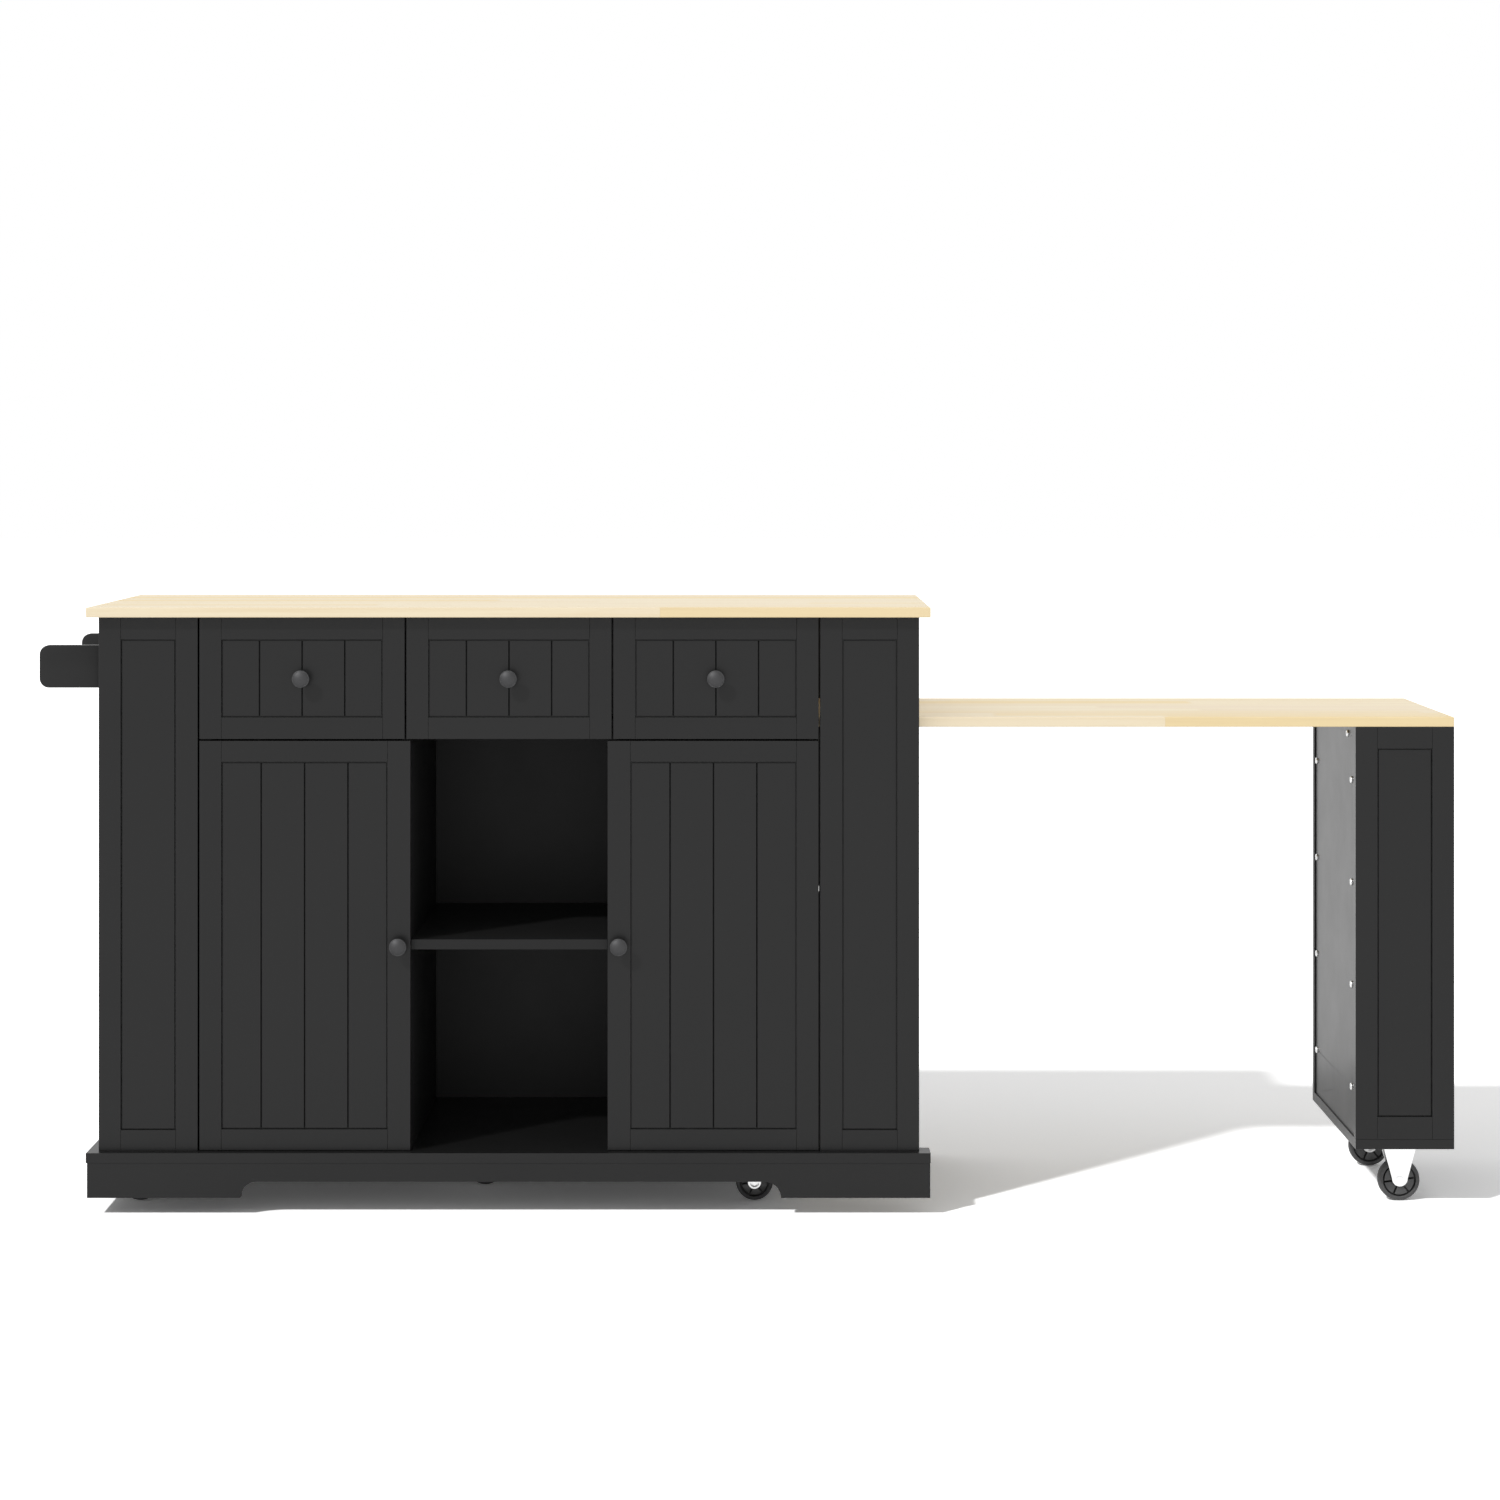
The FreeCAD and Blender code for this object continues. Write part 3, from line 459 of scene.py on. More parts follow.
def core_plastic():
    material, tree = new_material("black_core_plastic")
    tint, height = coat(tree, colour(0.07, 0.07, 0.071), colour(0.085, 0.085, 0.086),
                        {"Pebbles": 2200.0, "Waves": 90.0},
                        {"Radius": 0.0005, "Breakup": 300.0}, 0.3, grey(0.16))
    # Painted shade: where the occlusion test finds a point enclosed, as in the slots, the colour goes to
    # near black.
    openness = add_node(tree, "AmbientOcclusion", {"samples": 4}, Distance=0.005)
    unshaded_share = ramp(tree, openness.outputs["AO"], start=0.35, gain=2.6)
    tint = blend_colours(tree, unshaded_share, grey(0.006), tint)
    return feed(material, tint, handled(tree, 0.42, 0.12, size=90.0), height, depth=0.00005)


rubber = tyre_rubber()
core_black = core_plastic()
print("wheel materials", rubber.name, core_black.name)

# %% [markdown]
# ## Dress the measured boards
# The boards are already the right shape, so they keep their solids and only get a finish. A board
# from a factory has no razor edges: foil and paint wrap over a tiny round. The columns, fronts and
# tops were modelled with theirs. The plain boards and the pressed steel get a small bevel from a
# modifier, which shows as a thin light line where two faces meet. The imported surface has doubled
# corners, so a weld comes first.

# %% Finishes for the boards
FINISHES = [  # a material, the round of its edges in millimetres, and the nodes
    (satin_paint, 0.0, ["left_column", "right_column", "left_door", "right_door", "left_drawer_front",
                        "middle_drawer_front", "right_drawer_front", "leg_front_column"]),
    (satin_paint, 0.5, ["base_board", "front_plinth", "left_and_rear_plinth", "left_side_panel",
                        "leg_rear_board", "leg_base_board", "leg_back_panel"]),
    (carcass_foil, 0.4, ["left_divider", "right_divider", "niche_dividers", "deck_board",
                         "drawer_partitions", "back_panel", "shelves", "table_guide",
                         "left_drawer_box", "middle_drawer_box", "right_drawer_box", "leg_shelves",
                         "leg_top_cleat"]),
    (pale_wood, 0.0, ["worktop", "table_top"]),
    (zinc, 0.35, ["caster_plates", "leg_caster_forks", "front_left_fork", "front_right_fork",
                  "rear_left_fork", "rear_right_fork", "middle_fork"])]
WELD_REACH = 0.00001


def finish(node, material, edge_round):
    """Gives a CAD node a material and, where a radius is given, a small round on its edges."""
    node.data.materials.clear()
    node.data.materials.append(material)
    if edge_round:
        weld = node.modifiers.new("weld", "WELD")
        weld.merge_threshold = WELD_REACH
        bevel = node.modifiers.new("edge", "BEVEL")
        bevel.width = edge_round * MM
        bevel.segments = 2
        bevel.limit_method = "ANGLE"
        bevel.angle_limit = math.radians(40)
        bevel.harden_normals = True


for material, edge_round, names in FINISHES:
    for name in names:
        finish(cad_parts[name], material, edge_round)
    print(material.name, edge_round, "mm round on", len(names), "nodes")

# %% [markdown]
# ## Helpers for turned and cut parts
# Knobs, tyres, screws and rods are all lathe work: an outline spun about an axis. One helper spins
# any outline into a mesh, another makes the arcs that such outlines are full of, and a third mirrors
# an outline with two equal halves. What isn't turned is bent or cut from sheet and board: its side
# view is drawn and raised to a thickness.

# %% Outlines and turning
ON_AXIS = 1e-6  # a point this near to the axis stays a single point


def arc(centre, radius, start, end, steps):
    """Points on a circle from one angle to another, in degrees, both ends included."""
    angles = [math.radians(start + (end - start) * step / steps) for step in range(steps + 1)]
    return [(centre[0] + radius * math.cos(a), centre[1] + radius * math.sin(a)) for a in angles]


def both_halves(half):
    """An outline followed by its mirror image across height 0."""
    return half + [(radius, -height) for radius, height in reversed(half)]


def rotation(angle, axis="Z"):
    return Matrix.Rotation(math.radians(angle), 4, axis)


def axis_place(origin, direction):
    """A place whose Z axis points along a direction."""
    turn = Vector(direction).to_track_quat("Z", "Y").to_matrix().to_4x4()
    return Matrix.Translation(origin) @ turn


def spin(mesh, outline, place, segments=48, closed=False):
    """Spins (radius, height) points, in millimetres, about the Z axis of a place."""
    turns = [2 * math.pi * step / segments for step in range(segments)]
    rings = []
    for radius, height in outline:
        if radius < ON_AXIS:
            spots = [(0, 0, height * MM)]
        else:
            spots = [(radius * MM * math.cos(t), radius * MM * math.sin(t), height * MM) for t in turns]
        rings.append([mesh.verts.new(place @ Vector(spot)) for spot in spots])
    for lower, upper in zip(rings, rings[1:] + rings[:1] if closed else rings[1:]):
        for step in range(segments):
            follow = (step + 1) % segments
            corners = [lower[step % len(lower)], lower[follow % len(lower)],
                       upper[follow % len(upper)], upper[step % len(upper)]]
            distinct = list(dict.fromkeys(corners))
            if len(distinct) > 2:
                mesh.faces.new(distinct)


print("quarter circle", arc((0, 0), 1, 0, 90, 2))

# %% Raising, joining and finishing
def as_mesh(shape, name):
    """Turns a bmesh into a mesh of its own, its faces outwards, and frees it."""
    bmesh.ops.recalc_face_normals(shape, faces=shape.faces)
    data = bpy.data.meshes.new(name)
    shape.to_mesh(data)
    shape.free()
    return data


def pour(mesh, data):
    """Adds a mesh to a bmesh and throws the mesh away."""
    mesh.from_mesh(data)
    bpy.data.meshes.remove(data)


def extrude(mesh, outline, low, high, place, bevel=0.0):
    """A prism: (x, y) points, in millimetres, raised from one height to another along Z of a place."""
    own = bmesh.new()
    foot = own.faces.new([own.verts.new((x, y, low)) for x, y in outline])
    raised = bmesh.ops.extrude_face_region(own, geom=[foot])["geom"]
    lifted = [item for item in raised if isinstance(item, bmesh.types.BMVert)]
    bmesh.ops.translate(own, verts=lifted, vec=(0, 0, high - low))
    bmesh.ops.recalc_face_normals(own, faces=own.faces)
    if bevel:
        sharp = [edge for edge in own.edges if edge.calc_face_angle(0) > math.radians(30)]
        bmesh.ops.bevel(own, geom=sharp, offset=bevel, segments=2, profile=0.5, affect="EDGES")
    own.transform(place @ Matrix.Scale(MM, 4))
    pour(mesh, as_mesh(own, "parcel"))


def as_piece(mesh, name, material, body, replaced=(), sharp=30):
    """Makes a bmesh a finished piece that rides on a body and stands for CAD nodes."""
    data = as_mesh(mesh, name)
    for polygon in data.polygons:
        polygon.use_smooth = True
    data.set_sharp_from_angle(angle=math.radians(sharp))
    data.materials.append(material)
    piece = put_in_scene(data)
    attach(piece, body)
    if replaced:
        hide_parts(*replaced)


# %% [markdown]
# One CAD node can hold many solids, such as the ten screws of the leg. Each is found by walking from
# corner to corner along edges, so that it can be replaced in the very place where it sits.

# %% Solids inside a node
def solids_of(name):
    """The (lowest, highest) corners of each separate solid in a CAD node, in metres."""
    mesh = bmesh.new()
    mesh.from_mesh(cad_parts[name].data)
    bmesh.ops.remove_doubles(mesh, verts=mesh.verts, dist=WELD_REACH)
    left_over = set(mesh.verts)
    boxes = []
    while left_over:
        found = [left_over.pop()]
        for vertex in found:
            near = {edge.other_vert(vertex) for edge in vertex.link_edges} & left_over
            left_over -= near
            found.extend(near)
        boxes.append([Vector(limit(vertex.co[axis] for vertex in found) for axis in range(3))
                      for limit in (min, max)])
    mesh.free()
    return sorted(boxes, key=lambda pair: tuple(round(value, 5) for value in pair[0]))


def middle_of(low, high, **given):
    """The middle of a box, but for any of x, y and z that is given."""
    return Vector(given.get(axis, (low[number] + high[number]) / 2) for number, axis in enumerate("xyz"))


print("screws in the leg", len(solids_of("leg_screws")))

# %% [markdown]
# ## Five turned knobs
# Each knob is one casting: a small foot on the door, a thin neck, a bell that flares to a rim, a step
# and a low dome. From the front a disc would pass, but from the side the neck and the bell would be
# missing, so the whole outline is turned. The knob's box in the frame says where its foot is and how
# far it may reach.

# %% Knobs
def knob_outline(rim, reach):
    """Foot, neck, bell, rim, step and dome, from the face of the front outwards."""
    foot, foot_round, foot_side = 0.60 * rim, 0.8, 1.2
    neck, neck_round, neck_start = 0.376 * rim, 1.2, 3.2
    bell_round, bell_middle = 7.0, 9.6
    rim_round, rim_top = 1.2, 0.84 * reach
    dome, step_round, step_lift = rim - 1.6, 0.35, 0.1
    sag = reach - rim_top - 0.2
    sphere = (dome ** 2 + sag ** 2) / (2 * sag)
    half_angle = math.degrees(math.asin(dome / sphere))
    points = [(0, 0), (foot, 0)]
    points += arc((foot - foot_round, foot_side), foot_round, 0, 90, 5)
    points += arc((neck + neck_round, neck_start), neck_round, 270, 180, 6)
    points += arc((neck + bell_round, bell_middle), bell_round, 180, 118, 10)
    points += arc((rim - rim_round, rim_top - rim_round), rim_round, -50, 90, 10)
    points += arc((dome + step_round, rim_top - step_round + step_lift), step_round, 60, 180, 4)
    points += arc((0, reach - sphere), sphere, 90 - half_angle, 90, 14)
    return points[:-1] + [(0, reach)]


for host in ("left_door", "right_door", "left_drawer", "middle_drawer", "right_drawer"):
    body = host + "_leaf" if host.endswith("door") else host
    low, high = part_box(host + "_knob")
    rim_radius = (high.x - low.x) / 2 / MM
    knob_reach = (high.y - low.y) / MM
    place = axis_place(middle_of(low, high, y=high.y), (0, -1, 0))
    mesh = bmesh.new()
    spin(mesh, knob_outline(rim_radius, knob_reach), place, segments=72)
    as_piece(mesh, host + "_turned_knob", knob_metal, body, [host + "_knob"], sharp=40)
print("knobs", rim_radius, "mm radius", knob_reach, "mm reach")

# %% [markdown]
# ## Seven caster wheels
# A wheel is a hard core with a tyre moulded round it. The photograph looks straight at its side and
# shows a plain grey ring, a dark slot all round inside it, and six pads parted by dark radial slots.
# The tyre is spun from an outline with rounded shoulders and two fine grooves.

# %% Tyres
WHEELS = ["front_left", "front_right", "rear_left", "rear_right", "middle", "leg_front", "leg_rear"]
TYRE_THICKNESS = 6.5


def tyre_outline(radius, half_width):
    """Once round the tyre's section, from its inner edge."""
    inner, chamfer, side_ring, lip = radius - TYRE_THICKNESS, 0.6, 2.4, 0.5
    shoulder, shoulder_round = 3.0, 2.5
    groove, groove_place = 0.45, 3.4
    tread = half_width - lip
    points = [(inner, half_width - chamfer), (inner + chamfer, half_width)]
    points += [(inner + side_ring, half_width), (inner + side_ring + lip, tread)]
    points += [(radius - shoulder - lip, tread)]
    points += arc((radius - shoulder, tread - shoulder_round), shoulder_round, 90, 30, 6)
    points += [(radius, groove_place + groove), (radius - groove, groove_place)]
    points += [(radius, groove_place - groove)]
    return both_halves(points)


def tyre(radius, half_width, place):
    mesh = bmesh.new()
    spin(mesh, tyre_outline(radius, half_width), place, segments=96, closed=True)
    return mesh


print("tyre section", len(tyre_outline(28.5, 10.5)), "points")

# %% [markdown]
# The core is a turned hub and web, and six pads. The slots between the pads are as wide inside as
# outside, so each pad is drawn from two arcs that stop half a slot short, and raised, with its edges
# rounded as a moulding's are.

# %% Cores
PAD_COUNT, PAD_SLOT, PAD_START, PAD_EDGE = 6, 2.6, 9.2, 0.7
PAD_INSET = 2.0  # how far the pads lie behind the hub's face
PAD_TURN = 8     # degrees that the first pad is past half a step
RING_SLOT = 2.4
HUB_RADIUS, HUB_ROUND = 9.0, 0.8
BORE, CHAMFER = 4.4, 0.6
WEB_START, WEB_HALF = 8.4, 1.5


def pad_outline(inner, outer, turn):
    """One wedge between two slots, seen along the axle."""
    half_step = 180 / PAD_COUNT
    corners = []
    for radius, way in ((inner, 1), (outer, -1)):
        cut = math.degrees(math.asin(PAD_SLOT / 2 / radius))
        span = (turn - half_step + cut, turn + half_step - cut)
        corners += arc((0, 0), radius, *span[::way], 8)
    return corners


def core(radius, half_width, place):
    mesh = bmesh.new()
    inner, pad_half = radius - TYRE_THICKNESS, half_width - PAD_INSET
    spin(mesh, both_halves([(WEB_START, WEB_HALF), (inner, WEB_HALF)]), place, segments=96, closed=True)
    flat = HUB_RADIUS - HUB_ROUND
    hub = [(BORE, half_width - CHAMFER), (BORE + CHAMFER, half_width), (flat, half_width)]
    hub += arc((flat, half_width - HUB_ROUND), HUB_ROUND, 90, 0, 4)
    spin(mesh, both_halves(hub), place, segments=64, closed=True)
    for number in range(PAD_COUNT):
        turn = (number + 0.5) * 360 / PAD_COUNT + PAD_TURN
        outline = pad_outline(PAD_START, inner - RING_SLOT, turn)
        extrude(mesh, outline, -pad_half, pad_half, place, bevel=PAD_EDGE)
    return mesh


for wheel in WHEELS:
    low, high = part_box(wheel + "_wheel")
    radius, half_width = (high.z - low.z) / 2 / MM, (high.y - low.y) / 2 / MM
    place = axis_place((low + high) / 2, (0, -1, 0))
    for shape, part, material, sharp in ((tyre, "_tyre", rubber, 28),
                                         (core, "_wheel_core", core_black, 30)):
        as_piece(shape(radius, half_width, place), wheel + part, material, wheel + "_roller",
                 [wheel + "_wheel"], sharp)
print("wheels", len(WHEELS), "width", 2 * half_width, "mm")

# %% [markdown]
# ## Riveted axles
# The axle of such a caster is a rivet: a shallow dome on each side of the fork. The measured fork has
# a plain pin there, so each end gets its dome. They ride with the fork, not with the wheel.

# %% Rivet heads
RIVET_RADIUS, RIVET_HEIGHT, RIVET_ROUND = 7.0, 1.5, 0.6
RIVET_SINK, RIVET_RIM = 0.5, 0.2
RIVET_DOME = [(0.62, 0.78), (0.3, 0.96), (0, 1)]  # shares of the radius and the height
CHEEK_GAP, CHEEK_THICKNESS = 1.0, 2.5

rivet_outline = [(0, -RIVET_SINK), (RIVET_RADIUS, -RIVET_SINK), (RIVET_RADIUS, RIVET_RIM)]
rivet_outline += arc((RIVET_RADIUS - RIVET_ROUND, RIVET_RIM), RIVET_ROUND, 20, 70, 4)
rivet_outline += [(RIVET_RADIUS * across, RIVET_HEIGHT * up) for across, up in RIVET_DOME]
for wheel in WHEELS:
    body = "sliding_table" if wheel.startswith("leg") else wheel + "_swivel"
    low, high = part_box(wheel + "_wheel")
    reach = (high.y - low.y) / 2 + (CHEEK_GAP + CHEEK_THICKNESS) * MM
    mesh = bmesh.new()
    for way in (-1, 1):
        seat = (low + high) / 2 + Vector((0, way * reach, 0))
        spin(mesh, rivet_outline, axis_place(seat, (0, way, 0)), segments=40)
    as_piece(mesh, wheel + "_axle_rivets", zinc, body)
print("rivets", 2 * len(WHEELS), "radius", RIVET_RADIUS, "mm")

# %% [markdown]
# ## Screws with crossed slots
# Ten screws go through the leg's panel into its shelves, and two more hold the cupboard shelf. They
# are the only bright points on a black object, so they are worth their slots. One screw is made
# first: it is turned, and two blades cut the cross out of it by a boolean, which subtracts one mesh
# from another.

# %% One screw
HEAD_RADIUS, HEAD_HEIGHT, HEAD_ROUND, SEAT_ROUND = 5.25, 3.0, 1.5, 0.4
SHANK_RADIUS, SHANK_LENGTH = 2.0, 26.0
CROSS_SPAN, CROSS_WIDTH, CROSS_DEPTH = 5.6, 1.25, 1.9
CROSS_TAPER = 0.35  # the foot of the cross, as a share of its span


def screw_outline():
    """Tip, shank and head of a pan-head screw, its head seated at height 0."""
    points = [(0, -SHANK_LENGTH), (0.6, -SHANK_LENGTH + 0.8), (SHANK_RADIUS - 0.2, -SHANK_LENGTH + 4)]
    points += [(SHANK_RADIUS, -SHANK_LENGTH + 6), (SHANK_RADIUS, 0), (HEAD_RADIUS - 0.3, 0)]
    points += arc((HEAD_RADIUS - SEAT_ROUND, SEAT_ROUND), SEAT_ROUND, -45, 0, 2)
    points += arc((HEAD_RADIUS - HEAD_ROUND, HEAD_HEIGHT - HEAD_ROUND), HEAD_ROUND, 5, 75, 7)
    return points + [(HEAD_RADIUS * 0.45, HEAD_HEIGHT - 0.03), (0, HEAD_HEIGHT)]


def cross_blade(turn):
    """A tapered blade, turned by an angle in degrees."""
    half, tip = CROSS_SPAN / 2, CROSS_SPAN / 2 * CROSS_TAPER
    top, foot = HEAD_HEIGHT + 0.5, HEAD_HEIGHT - CROSS_DEPTH
    side = [(-half, top), (half, top), (tip, foot), (-tip, foot)]
    blade = bmesh.new()
    extrude(blade, side, -CROSS_WIDTH / 2, CROSS_WIDTH / 2, rotation(turn) @ rotation(90, "X"))
    return put_in_scene(as_mesh(blade, "blade"))


def screw_template():
    """A pan-head screw along +Z with a cross in its head, as a mesh in metres."""
    body = bmesh.new()
    spin(body, screw_outline(), Matrix.Identity(4), segments=48)
    screw = put_in_scene(as_mesh(body, "screw_body"))
    for turn in (0, 90):
        cutter = cross_blade(turn)
        cut = screw.modifiers.new("cross", "BOOLEAN")
        cut.operation = "DIFFERENCE"
        cut.object = cutter
        cut.solver = "EXACT"
        shown = screw.evaluated_get(bpy.context.evaluated_depsgraph_get())
        screw.data = bpy.data.meshes.new_from_object(shown)
        screw.modifiers.clear()
        bpy.data.objects.remove(cutter)
    template = screw.data
    bpy.data.objects.remove(screw)
    return template


SCREW = screw_template()
print("screw faces", len(SCREW.polygons))

# %% [markdown]
# The screw is then stamped wherever the frame has one, each turned to its own angle, as screws end up
# in life. The node of the cupboard's fixings holds thinner solids too, the shelf pins, which are
# turned with rounded ends.

# %% Screws and shelf pins
LEG_SCREW_TURN = 37        # degrees from one screw to the next
CUPBOARD_SCREW_TURN = 53
PIN_LIMIT = 0.0075         # anything thicker is a screw
PIN_ROUND = 0.6


def stamp_screw(mesh, seat, way, turn):
    """Adds a screw along the X axis, turned about itself by an angle in degrees."""
    copy = SCREW.copy()
    copy.transform(axis_place(seat, (way, 0, 0)) @ rotation(turn))
    pour(mesh, copy)


mesh = bmesh.new()
for number, (low, high) in enumerate(solids_of("leg_screws")):
    seat = middle_of(low, high, x=low.x + HEAD_HEIGHT * MM)
    stamp_screw(mesh, seat, -1, number * LEG_SCREW_TURN)
as_piece(mesh, "leg_pan_screws", zinc, "sliding_table", ["leg_screws"])

mesh = bmesh.new()
for number, (low, high) in enumerate(solids_of("pins_and_screws")):
    if high.z - low.z > PIN_LIMIT:
        seat = middle_of(low, high, x=high.x - HEAD_HEIGHT * MM)
        stamp_screw(mesh, seat, 1, number * CUPBOARD_SCREW_TURN)
    else:
        half, pin = (high.x - low.x) / 2 / MM, (high.z - low.z) / 2 / MM
        pin_end = [(0, -half)] + arc((pin - PIN_ROUND, -half + PIN_ROUND), PIN_ROUND, -90, 0, 4)
        spin(mesh, both_halves(pin_end), axis_place((low + high) / 2, (1, 0, 0)), segments=32)
as_piece(mesh, "shelf_pins_and_screws", zinc, "cabinet", ["pins_and_screws"])
print("fixings", len(solids_of("leg_screws")), "and", len(solids_of("pins_and_screws")))

# %% [markdown]
# ## Door hinges that open
# With a door swung out, the concealed hinges are in plain view. Each is a pressed cup let into the
# door, a plate screwed to the side board and an arm on the plate. The cups are spun with a hollow
# and a pin across it.

# %% Hinge cups
CUP_WALL, CUP_ROUND, HOLLOW_ROUND = 1.1, 1.5, 3.0
CUP_PIN_RADIUS, CUP_PIN_DEPTH, CUP_PIN_SINK = 1.6, 3.2, 0.2


def cup_outline(radius, depth):
    """Outside, rim and hollow of a cup with its mouth at height 0."""
    hollow = radius - CUP_WALL
    points = [(0, -depth)] + arc((radius - CUP_ROUND, -depth + CUP_ROUND), CUP_ROUND, -90, 0, 5)
    points += [(radius, -0.3), (radius - 0.3, 0), (hollow, -0.2)]
    points += arc((hollow - HOLLOW_ROUND, -depth + CUP_WALL + HOLLOW_ROUND), HOLLOW_ROUND, 0, -90, 6)
    return points + [(0, -depth + CUP_WALL)]


for side in ("left", "right"):
    mesh = bmesh.new()
    for low, high in solids_of(side + "_door_hinge_cups"):
        radius, depth = (high.z - low.z) / 2 / MM, (high.y - low.y) / MM
        mouth = middle_of(low, high, y=high.y)
        spin(mesh, cup_outline(radius, depth), axis_place(mouth, (0, 1, 0)), segments=64)
        pin_half = radius - CUP_WALL + CUP_PIN_SINK
        pin_place = axis_place(mouth + Vector((0, -CUP_PIN_DEPTH * MM, 0)), (0, 0, 1))
        pin = both_halves([(0, -pin_half), (CUP_PIN_RADIUS, -pin_half)])
        spin(mesh, pin, pin_place, segments=20)
    as_piece(mesh, side + "_hinge_cup_set", zinc, side + "_door_leaf",
             [side + "_door_hinge_cups"], sharp=35)
print("hinge cups", radius, "mm radius", depth, "mm deep")

# %% [markdown]
# The plate is flat with rounded corners, and the arm is drawn in profile, as the strip it is bent
# from. Both lie in one CAD node, whose thin solids are the plates. Each has two small screw heads.

# %% Hinge plates and arms
PLATE_LIMIT, PLATE_CORNER, PLATE_HEAD_INSET = 5.0, 4.0, 4.5
PLATE_HEAD = [(0, 1.2), (2.2, 1.0), (3.2, 0.2), (3.2, -0.2), (0, -0.2)]
ARM_HEAD = [(0, 0.5), (2.4, 0.4), (2.9, 0), (2.9, -0.6), (0, -0.6)]
ARM_HEAD_SHARES = (-0.25, 0.45)  # of the arm's length, from its middle
ARM_NOSE, ARM_TAIL = 6, 12       # how far its far face is cut back
NOSE_START, TAIL_START = 0.6, 0.35  # of its height, where those cuts begin


def small_head(mesh, outline, spot, way):
    """A small screw head that faces along the X axis."""
    spin(mesh, outline, axis_place(spot, (way, 0, 0)), segments=28)


def turned_place(origin, *axes):
    """A place whose X, Y and Z axes point along the given directions."""
    return Matrix.Translation(origin) @ Matrix(axes).transposed().to_4x4()


niche_low, niche_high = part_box("niche_dividers")
cabinet_middle = (niche_low.x + niche_high.x) / 2
mesh = bmesh.new()
for low, high in solids_of("hinge_arms"):
    size = (high - low) / MM
    inward = 1 if low.x + high.x < 2 * cabinet_middle else -1
    base = middle_of(low, high, x=low.x if inward > 0 else high.x)
    top = base + Vector((inward * size.x * MM, 0, 0))
    half_y, half_z = size.y / 2, size.z / 2
    if size.x < PLATE_LIMIT:
        corners = []
        for x_way, y_way, start in ((1, 1, 0), (-1, 1, 90), (-1, -1, 180), (1, -1, 270)):
            centre = (x_way * (half_z - PLATE_CORNER), y_way * (half_y - PLATE_CORNER))
            corners += arc(centre, PLATE_CORNER, start, start + 90, 5)
        extrude(mesh, corners, 0, size.x, axis_place(base, (inward, 0, 0)), bevel=0.3)
        for reach in (-1, 1):
            spot = top + Vector((0, 0, reach * (half_z - PLATE_HEAD_INSET) * MM))
            small_head(mesh, PLATE_HEAD, spot, inward)
    else:
        side_view = [(-half_y, 0), (half_y, 0), (half_y, size.x * NOSE_START),
                     (half_y - ARM_NOSE, size.x), (-half_y + ARM_TAIL, size.x),
                     (-half_y, size.x * TAIL_START)]
        place = turned_place(base, (0, 1, 0), (inward, 0, 0), (0, 0, 1))
        extrude(mesh, side_view, -half_z, half_z, place, bevel=1.0)
        for share in ARM_HEAD_SHARES:
            small_head(mesh, ARM_HEAD, top + Vector((0, share * size.y * MM, 0)), inward)
as_piece(mesh, "hinge_arm_set", zinc, "cabinet", ["hinge_arms"], sharp=35)
print("hinge plates and arms", len(solids_of("hinge_arms")))

# %% [markdown]
# ## Drawer slides
# A drawer runs on two steel channels at each side, one screwed to the carcass and one to the box.
# A plain bar would do for the motion, but an open drawer shows the channel, so its folded section is
# drawn, lips and all, and raised along its length. Rows of small screws hold it.

# %% Drawer slides
SHEET = 1.3
LIP_SHARE = 0.16                                # of the channel's height
SLIDE_SCREW_SHARES = (-0.42, -0.1, 0.25, 0.42)  # of its length, from its middle
SLIDE_HEAD = [(0, 0.9), (2.0, 0.8), (3.4, 0.1), (3.4, -0.3), (0, -0.3)]


def channel_outline(width, height):
    """The folded section of a slide: a web with two rolled lips. The web lies at width 0."""
    foot, lip = -height / 2, height * LIP_SHARE
    return both_halves([(0, foot), (width, foot), (width, foot + lip), (width - SHEET, foot + lip),
                        (width - SHEET, foot + SHEET), (SHEET, foot + SHEET)])


def slide_channels(name, way):
    """Channels in the place of a node's bars. Their open sides face one way and the other by turns."""
    mesh = bmesh.new()
    for low, high in solids_of(name):
        size = (high - low) / MM
        middle = middle_of(low, high, x=low.x if way > 0 else high.x)
        place = turned_place(middle, (way, 0, 0), (0, 0, 1), (0, 1, 0))
        extrude(mesh, channel_outline(size.x, size.z), -size.y / 2, size.y / 2, place, bevel=0.25)
        for share in SLIDE_SCREW_SHARES:
            spot = middle + Vector((way * SHEET * MM, share * size.y * MM, 0))
            small_head(mesh, SLIDE_HEAD, spot, way)
        way = -way
    return mesh


for drawer in ("left", "middle", "right"):
    mesh = slide_channels(drawer + "_drawer_runners", -1)
    as_piece(mesh, drawer + "_drawer_slides", zinc, drawer + "_drawer",
             [drawer + "_drawer_runners"])
mesh = slide_channels("drawer_rails", 1)
as_piece(mesh, "cabinet_drawer_slides", zinc, "cabinet", ["drawer_rails"])
print("slides on the cabinet", len(solids_of("drawer_rails")))

# %% [markdown]
# ## Rack brackets
# The towel rack hangs between two thick boards whose outer corners are rounded as wide as a coin.
# A bevel modifier would round every corner alike, so each bracket is drawn as an outline
# with two arcs and raised to its thickness. Its place and size come from the solid it stands for.

# %% Brackets with rounded outer corners
BRACKET_CORNER = 14.5
BRACKET_EDGE = 0.5

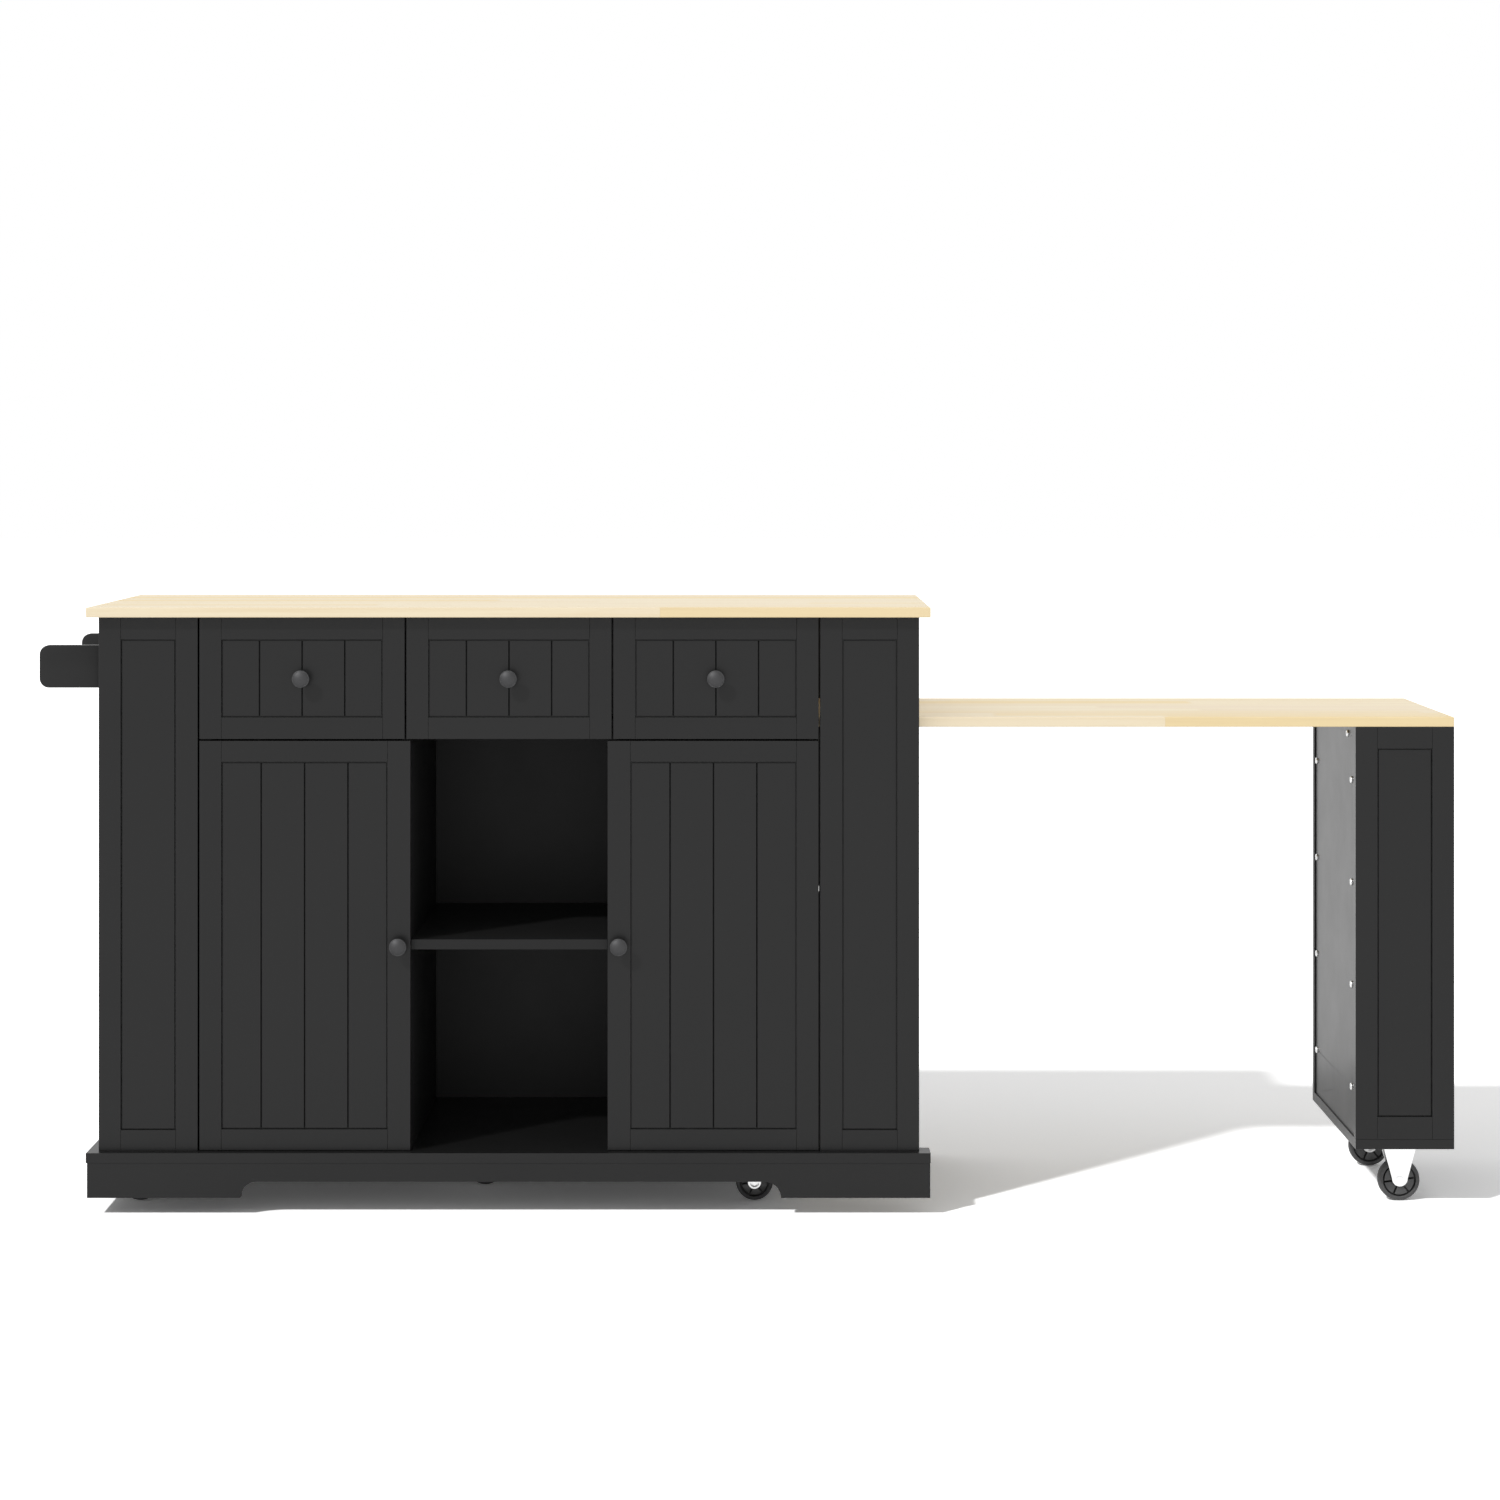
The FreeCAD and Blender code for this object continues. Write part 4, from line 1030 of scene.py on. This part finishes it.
mesh = bmesh.new()
for low, high in solids_of("towel_brackets"):
    outer_x, inner_x, foot_z, top_z = low.x / MM, high.x / MM, low.z / MM, high.z / MM
    corner_x = outer_x + BRACKET_CORNER
    bracket = [(inner_x, foot_z), (inner_x, top_z)]
    bracket += arc((corner_x, top_z - BRACKET_CORNER), BRACKET_CORNER, 90, 180, 12)
    bracket += arc((corner_x, foot_z + BRACKET_CORNER), BRACKET_CORNER, 180, 270, 12)
    extrude(mesh, bracket, -high.y / MM, -low.y / MM, rotation(90, "X"), bevel=BRACKET_EDGE)
as_piece(mesh, "rounded_rack_brackets", satin_paint, "cabinet",
         ["towel_brackets"], sharp=35)
print("brackets with corners of", BRACKET_CORNER, "mm")

# %% [markdown]
# ## The towel rod
# A drawn steel tube with black enamel, held between the two brackets. It is spun with a narrow collar
# where it enters each bracket, where enamel always gathers a little.

# %% Towel rod
ROD_SOCKET = 8.0  # how deep the rod sits in a bracket
COLLAR_RISE, COLLAR_WIDTH, COLLAR_SLOPE = 0.9, 1.6, 1.0

low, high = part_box("towel_rod")
rod_radius, rod_half = (high.z - low.z) / 2 / MM, (high.y - low.y) / 2 / MM
collar = ROD_SOCKET - rod_half
proud = rod_radius + COLLAR_RISE
rod_end = [(0, -rod_half), (rod_radius, -rod_half), (rod_radius, collar), (proud, collar),
           (proud, collar + COLLAR_WIDTH), (rod_radius, collar + COLLAR_WIDTH + COLLAR_SLOPE)]
mesh = bmesh.new()
spin(mesh, both_halves(rod_end), axis_place((low + high) / 2, (0, 1, 0)), segments=64)
as_piece(mesh, "enamelled_towel_rod", enamel, "cabinet", ["towel_rod"])
print("rod", 2 * rod_radius, "mm across", 2 * rod_half, "mm long")

# %% [markdown]
# ## The studio
# A white studio is a floor and a wall with no seam between them. Lit to be truly white it would throw
# so much light that the wood burns out. So the camera, and mirror-like rays, are shown a white world
# and a pale floor, while the light that reaches the object stays at a plain level. The floor is a
# real surface and keeps the object's shadow.

# %% Floor and sky
FLOOR_HALF = 40.0
FLOOR_DEPTH = -0.2 * MM
FLOOR_PLAIN = 0.65     # the floor's colour as it lights the object,
FLOOR_WHITE = 1.28     # as the camera sees it
FLOOR_MIRRORED = 1.02  # and as mirror-like rays see it
FLOOR_GLOW = 0.05
SKY_STRENGTH = 0.6
WHITE = grey(1.0)


def seen_directly(tree):
    """1 for a ray from the camera, a mirror or a glass, else 0; and 1 for the camera's alone."""
    path = add_node(tree, "LightPath").outputs
    mirrored = maths(tree, "MAXIMUM", path["Is Glossy Ray"], path["Is Transmission Ray"])
    return maths(tree, "MAXIMUM", path["Is Camera Ray"], mirrored), path["Is Camera Ray"]


def studio_floor():
    material = bpy.data.materials.new("studio_floor")
    material.use_nodes = True
    tree = material.node_tree
    tree.nodes.clear()
    seen, by_camera = seen_directly(tree)
    white = maths(tree, "ADD", FLOOR_MIRRORED, times(tree, by_camera, FLOOR_WHITE - FLOOR_MIRRORED))
    shown = add_node(tree, "BsdfDiffuse", Color=white)
    glow = add_node(tree, "Emission", Color=WHITE, Strength=FLOOR_GLOW)
    both = add_node(tree, "AddShader")
    plain = add_node(tree, "BsdfDiffuse", Color=grey(FLOOR_PLAIN))
    choice = add_node(tree, "MixShader")
    result = add_node(tree, "OutputMaterial")
    for value, socket in ((shown.outputs[0], both.inputs[0]), (glow.outputs[0], both.inputs[1]),
                          (seen, choice.inputs[0]), (plain.outputs[0], choice.inputs[1]),
                          (both.outputs[0], choice.inputs[2]), (choice.outputs[0], result.inputs[0])):
        join(tree, value, socket)
    return material


floor_mesh = bpy.data.meshes.new("studio_floor")
corners = ((-1, -1), (1, -1), (1, 1), (-1, 1))
floor_mesh.from_pydata([(x * FLOOR_HALF, y * FLOOR_HALF, FLOOR_DEPTH) for x, y in corners],
                       [], [(0, 1, 2, 3)])
floor_mesh.materials.append(studio_floor())
floor = put_in_scene(floor_mesh)

world = bpy.data.worlds.new("studio_sky")
world.use_nodes = True
bpy.context.scene.world = world
sky = world.node_tree
sky.nodes.clear()
sky_strength = maths(sky, "ADD", SKY_STRENGTH, times(sky, seen_directly(sky)[0], 1.0 - SKY_STRENGTH))
background = add_node(sky, "Background", Color=WHITE, Strength=sky_strength)
join(sky, background.outputs[0], add_node(sky, "OutputWorld").inputs[0])
print("floor", FLOOR_HALF * 2, "m wide, sky", SKY_STRENGTH)

# %% [markdown]
# The sky lights from everywhere, and one lamp high at the front left throws the shadow to the right
# and to the back, as in the photograph. Two things there need light linking, which says what a lamp
# lights and what shades it. The floor is white right up to the edge of a shadow, so a second lamp
# with the same direction lights the floor alone. And the worktop throws no shadow on the table, so
# the table has a lamp of its own, which the worktop and the column beside it don't block.

# %% Lamps
LIGHT_WAY = Vector((0.78, 0.87, -1.0)).normalized()
LAMP_SOFTNESS = math.radians(3.2)
LAMP_STRENGTH = 1.85
FLOOR_LAMP_STRENGTH = 1.2


def high_lamp(name, strength, lit=(), unlit=(), shadowless=()):
    """A lamp high at the front left: for some objects, not for some, or not shaded by some."""
    data = bpy.data.lights.new(name, "SUN")
    data.energy = strength
    data.angle = LAMP_SOFTNESS
    lamp = put_in_scene(data)
    lamp.rotation_euler = LIGHT_WAY.to_track_quat("-Z", "Y").to_euler()
    for part, members, state in (("receiver", lit, "INCLUDE"), ("receiver", unlit, "EXCLUDE"),
                                 ("blocker", shadowless, "EXCLUDE")):
        if members:
            group = bpy.data.collections.new(name + "_" + part + "s")
            for number, member in enumerate(members):
                group.objects.link(member)
                group.collection_objects[number].light_linking.link_state = state
            setattr(lamp.light_linking, part + "_collection", group)


table, worktop, column = (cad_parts[name] for name in ("table_top", "worktop", "right_column"))
high_lamp("high_front_lamp", LAMP_STRENGTH, unlit=[table])
high_lamp("table_lamp", LAMP_STRENGTH, lit=[table], shadowless=[worktop, column])
high_lamp("floor_lamp", FLOOR_LAMP_STRENGTH, lit=[floor])
print("lamps", LAMP_STRENGTH, "and", FLOOR_LAMP_STRENGTH, "more on the floor")
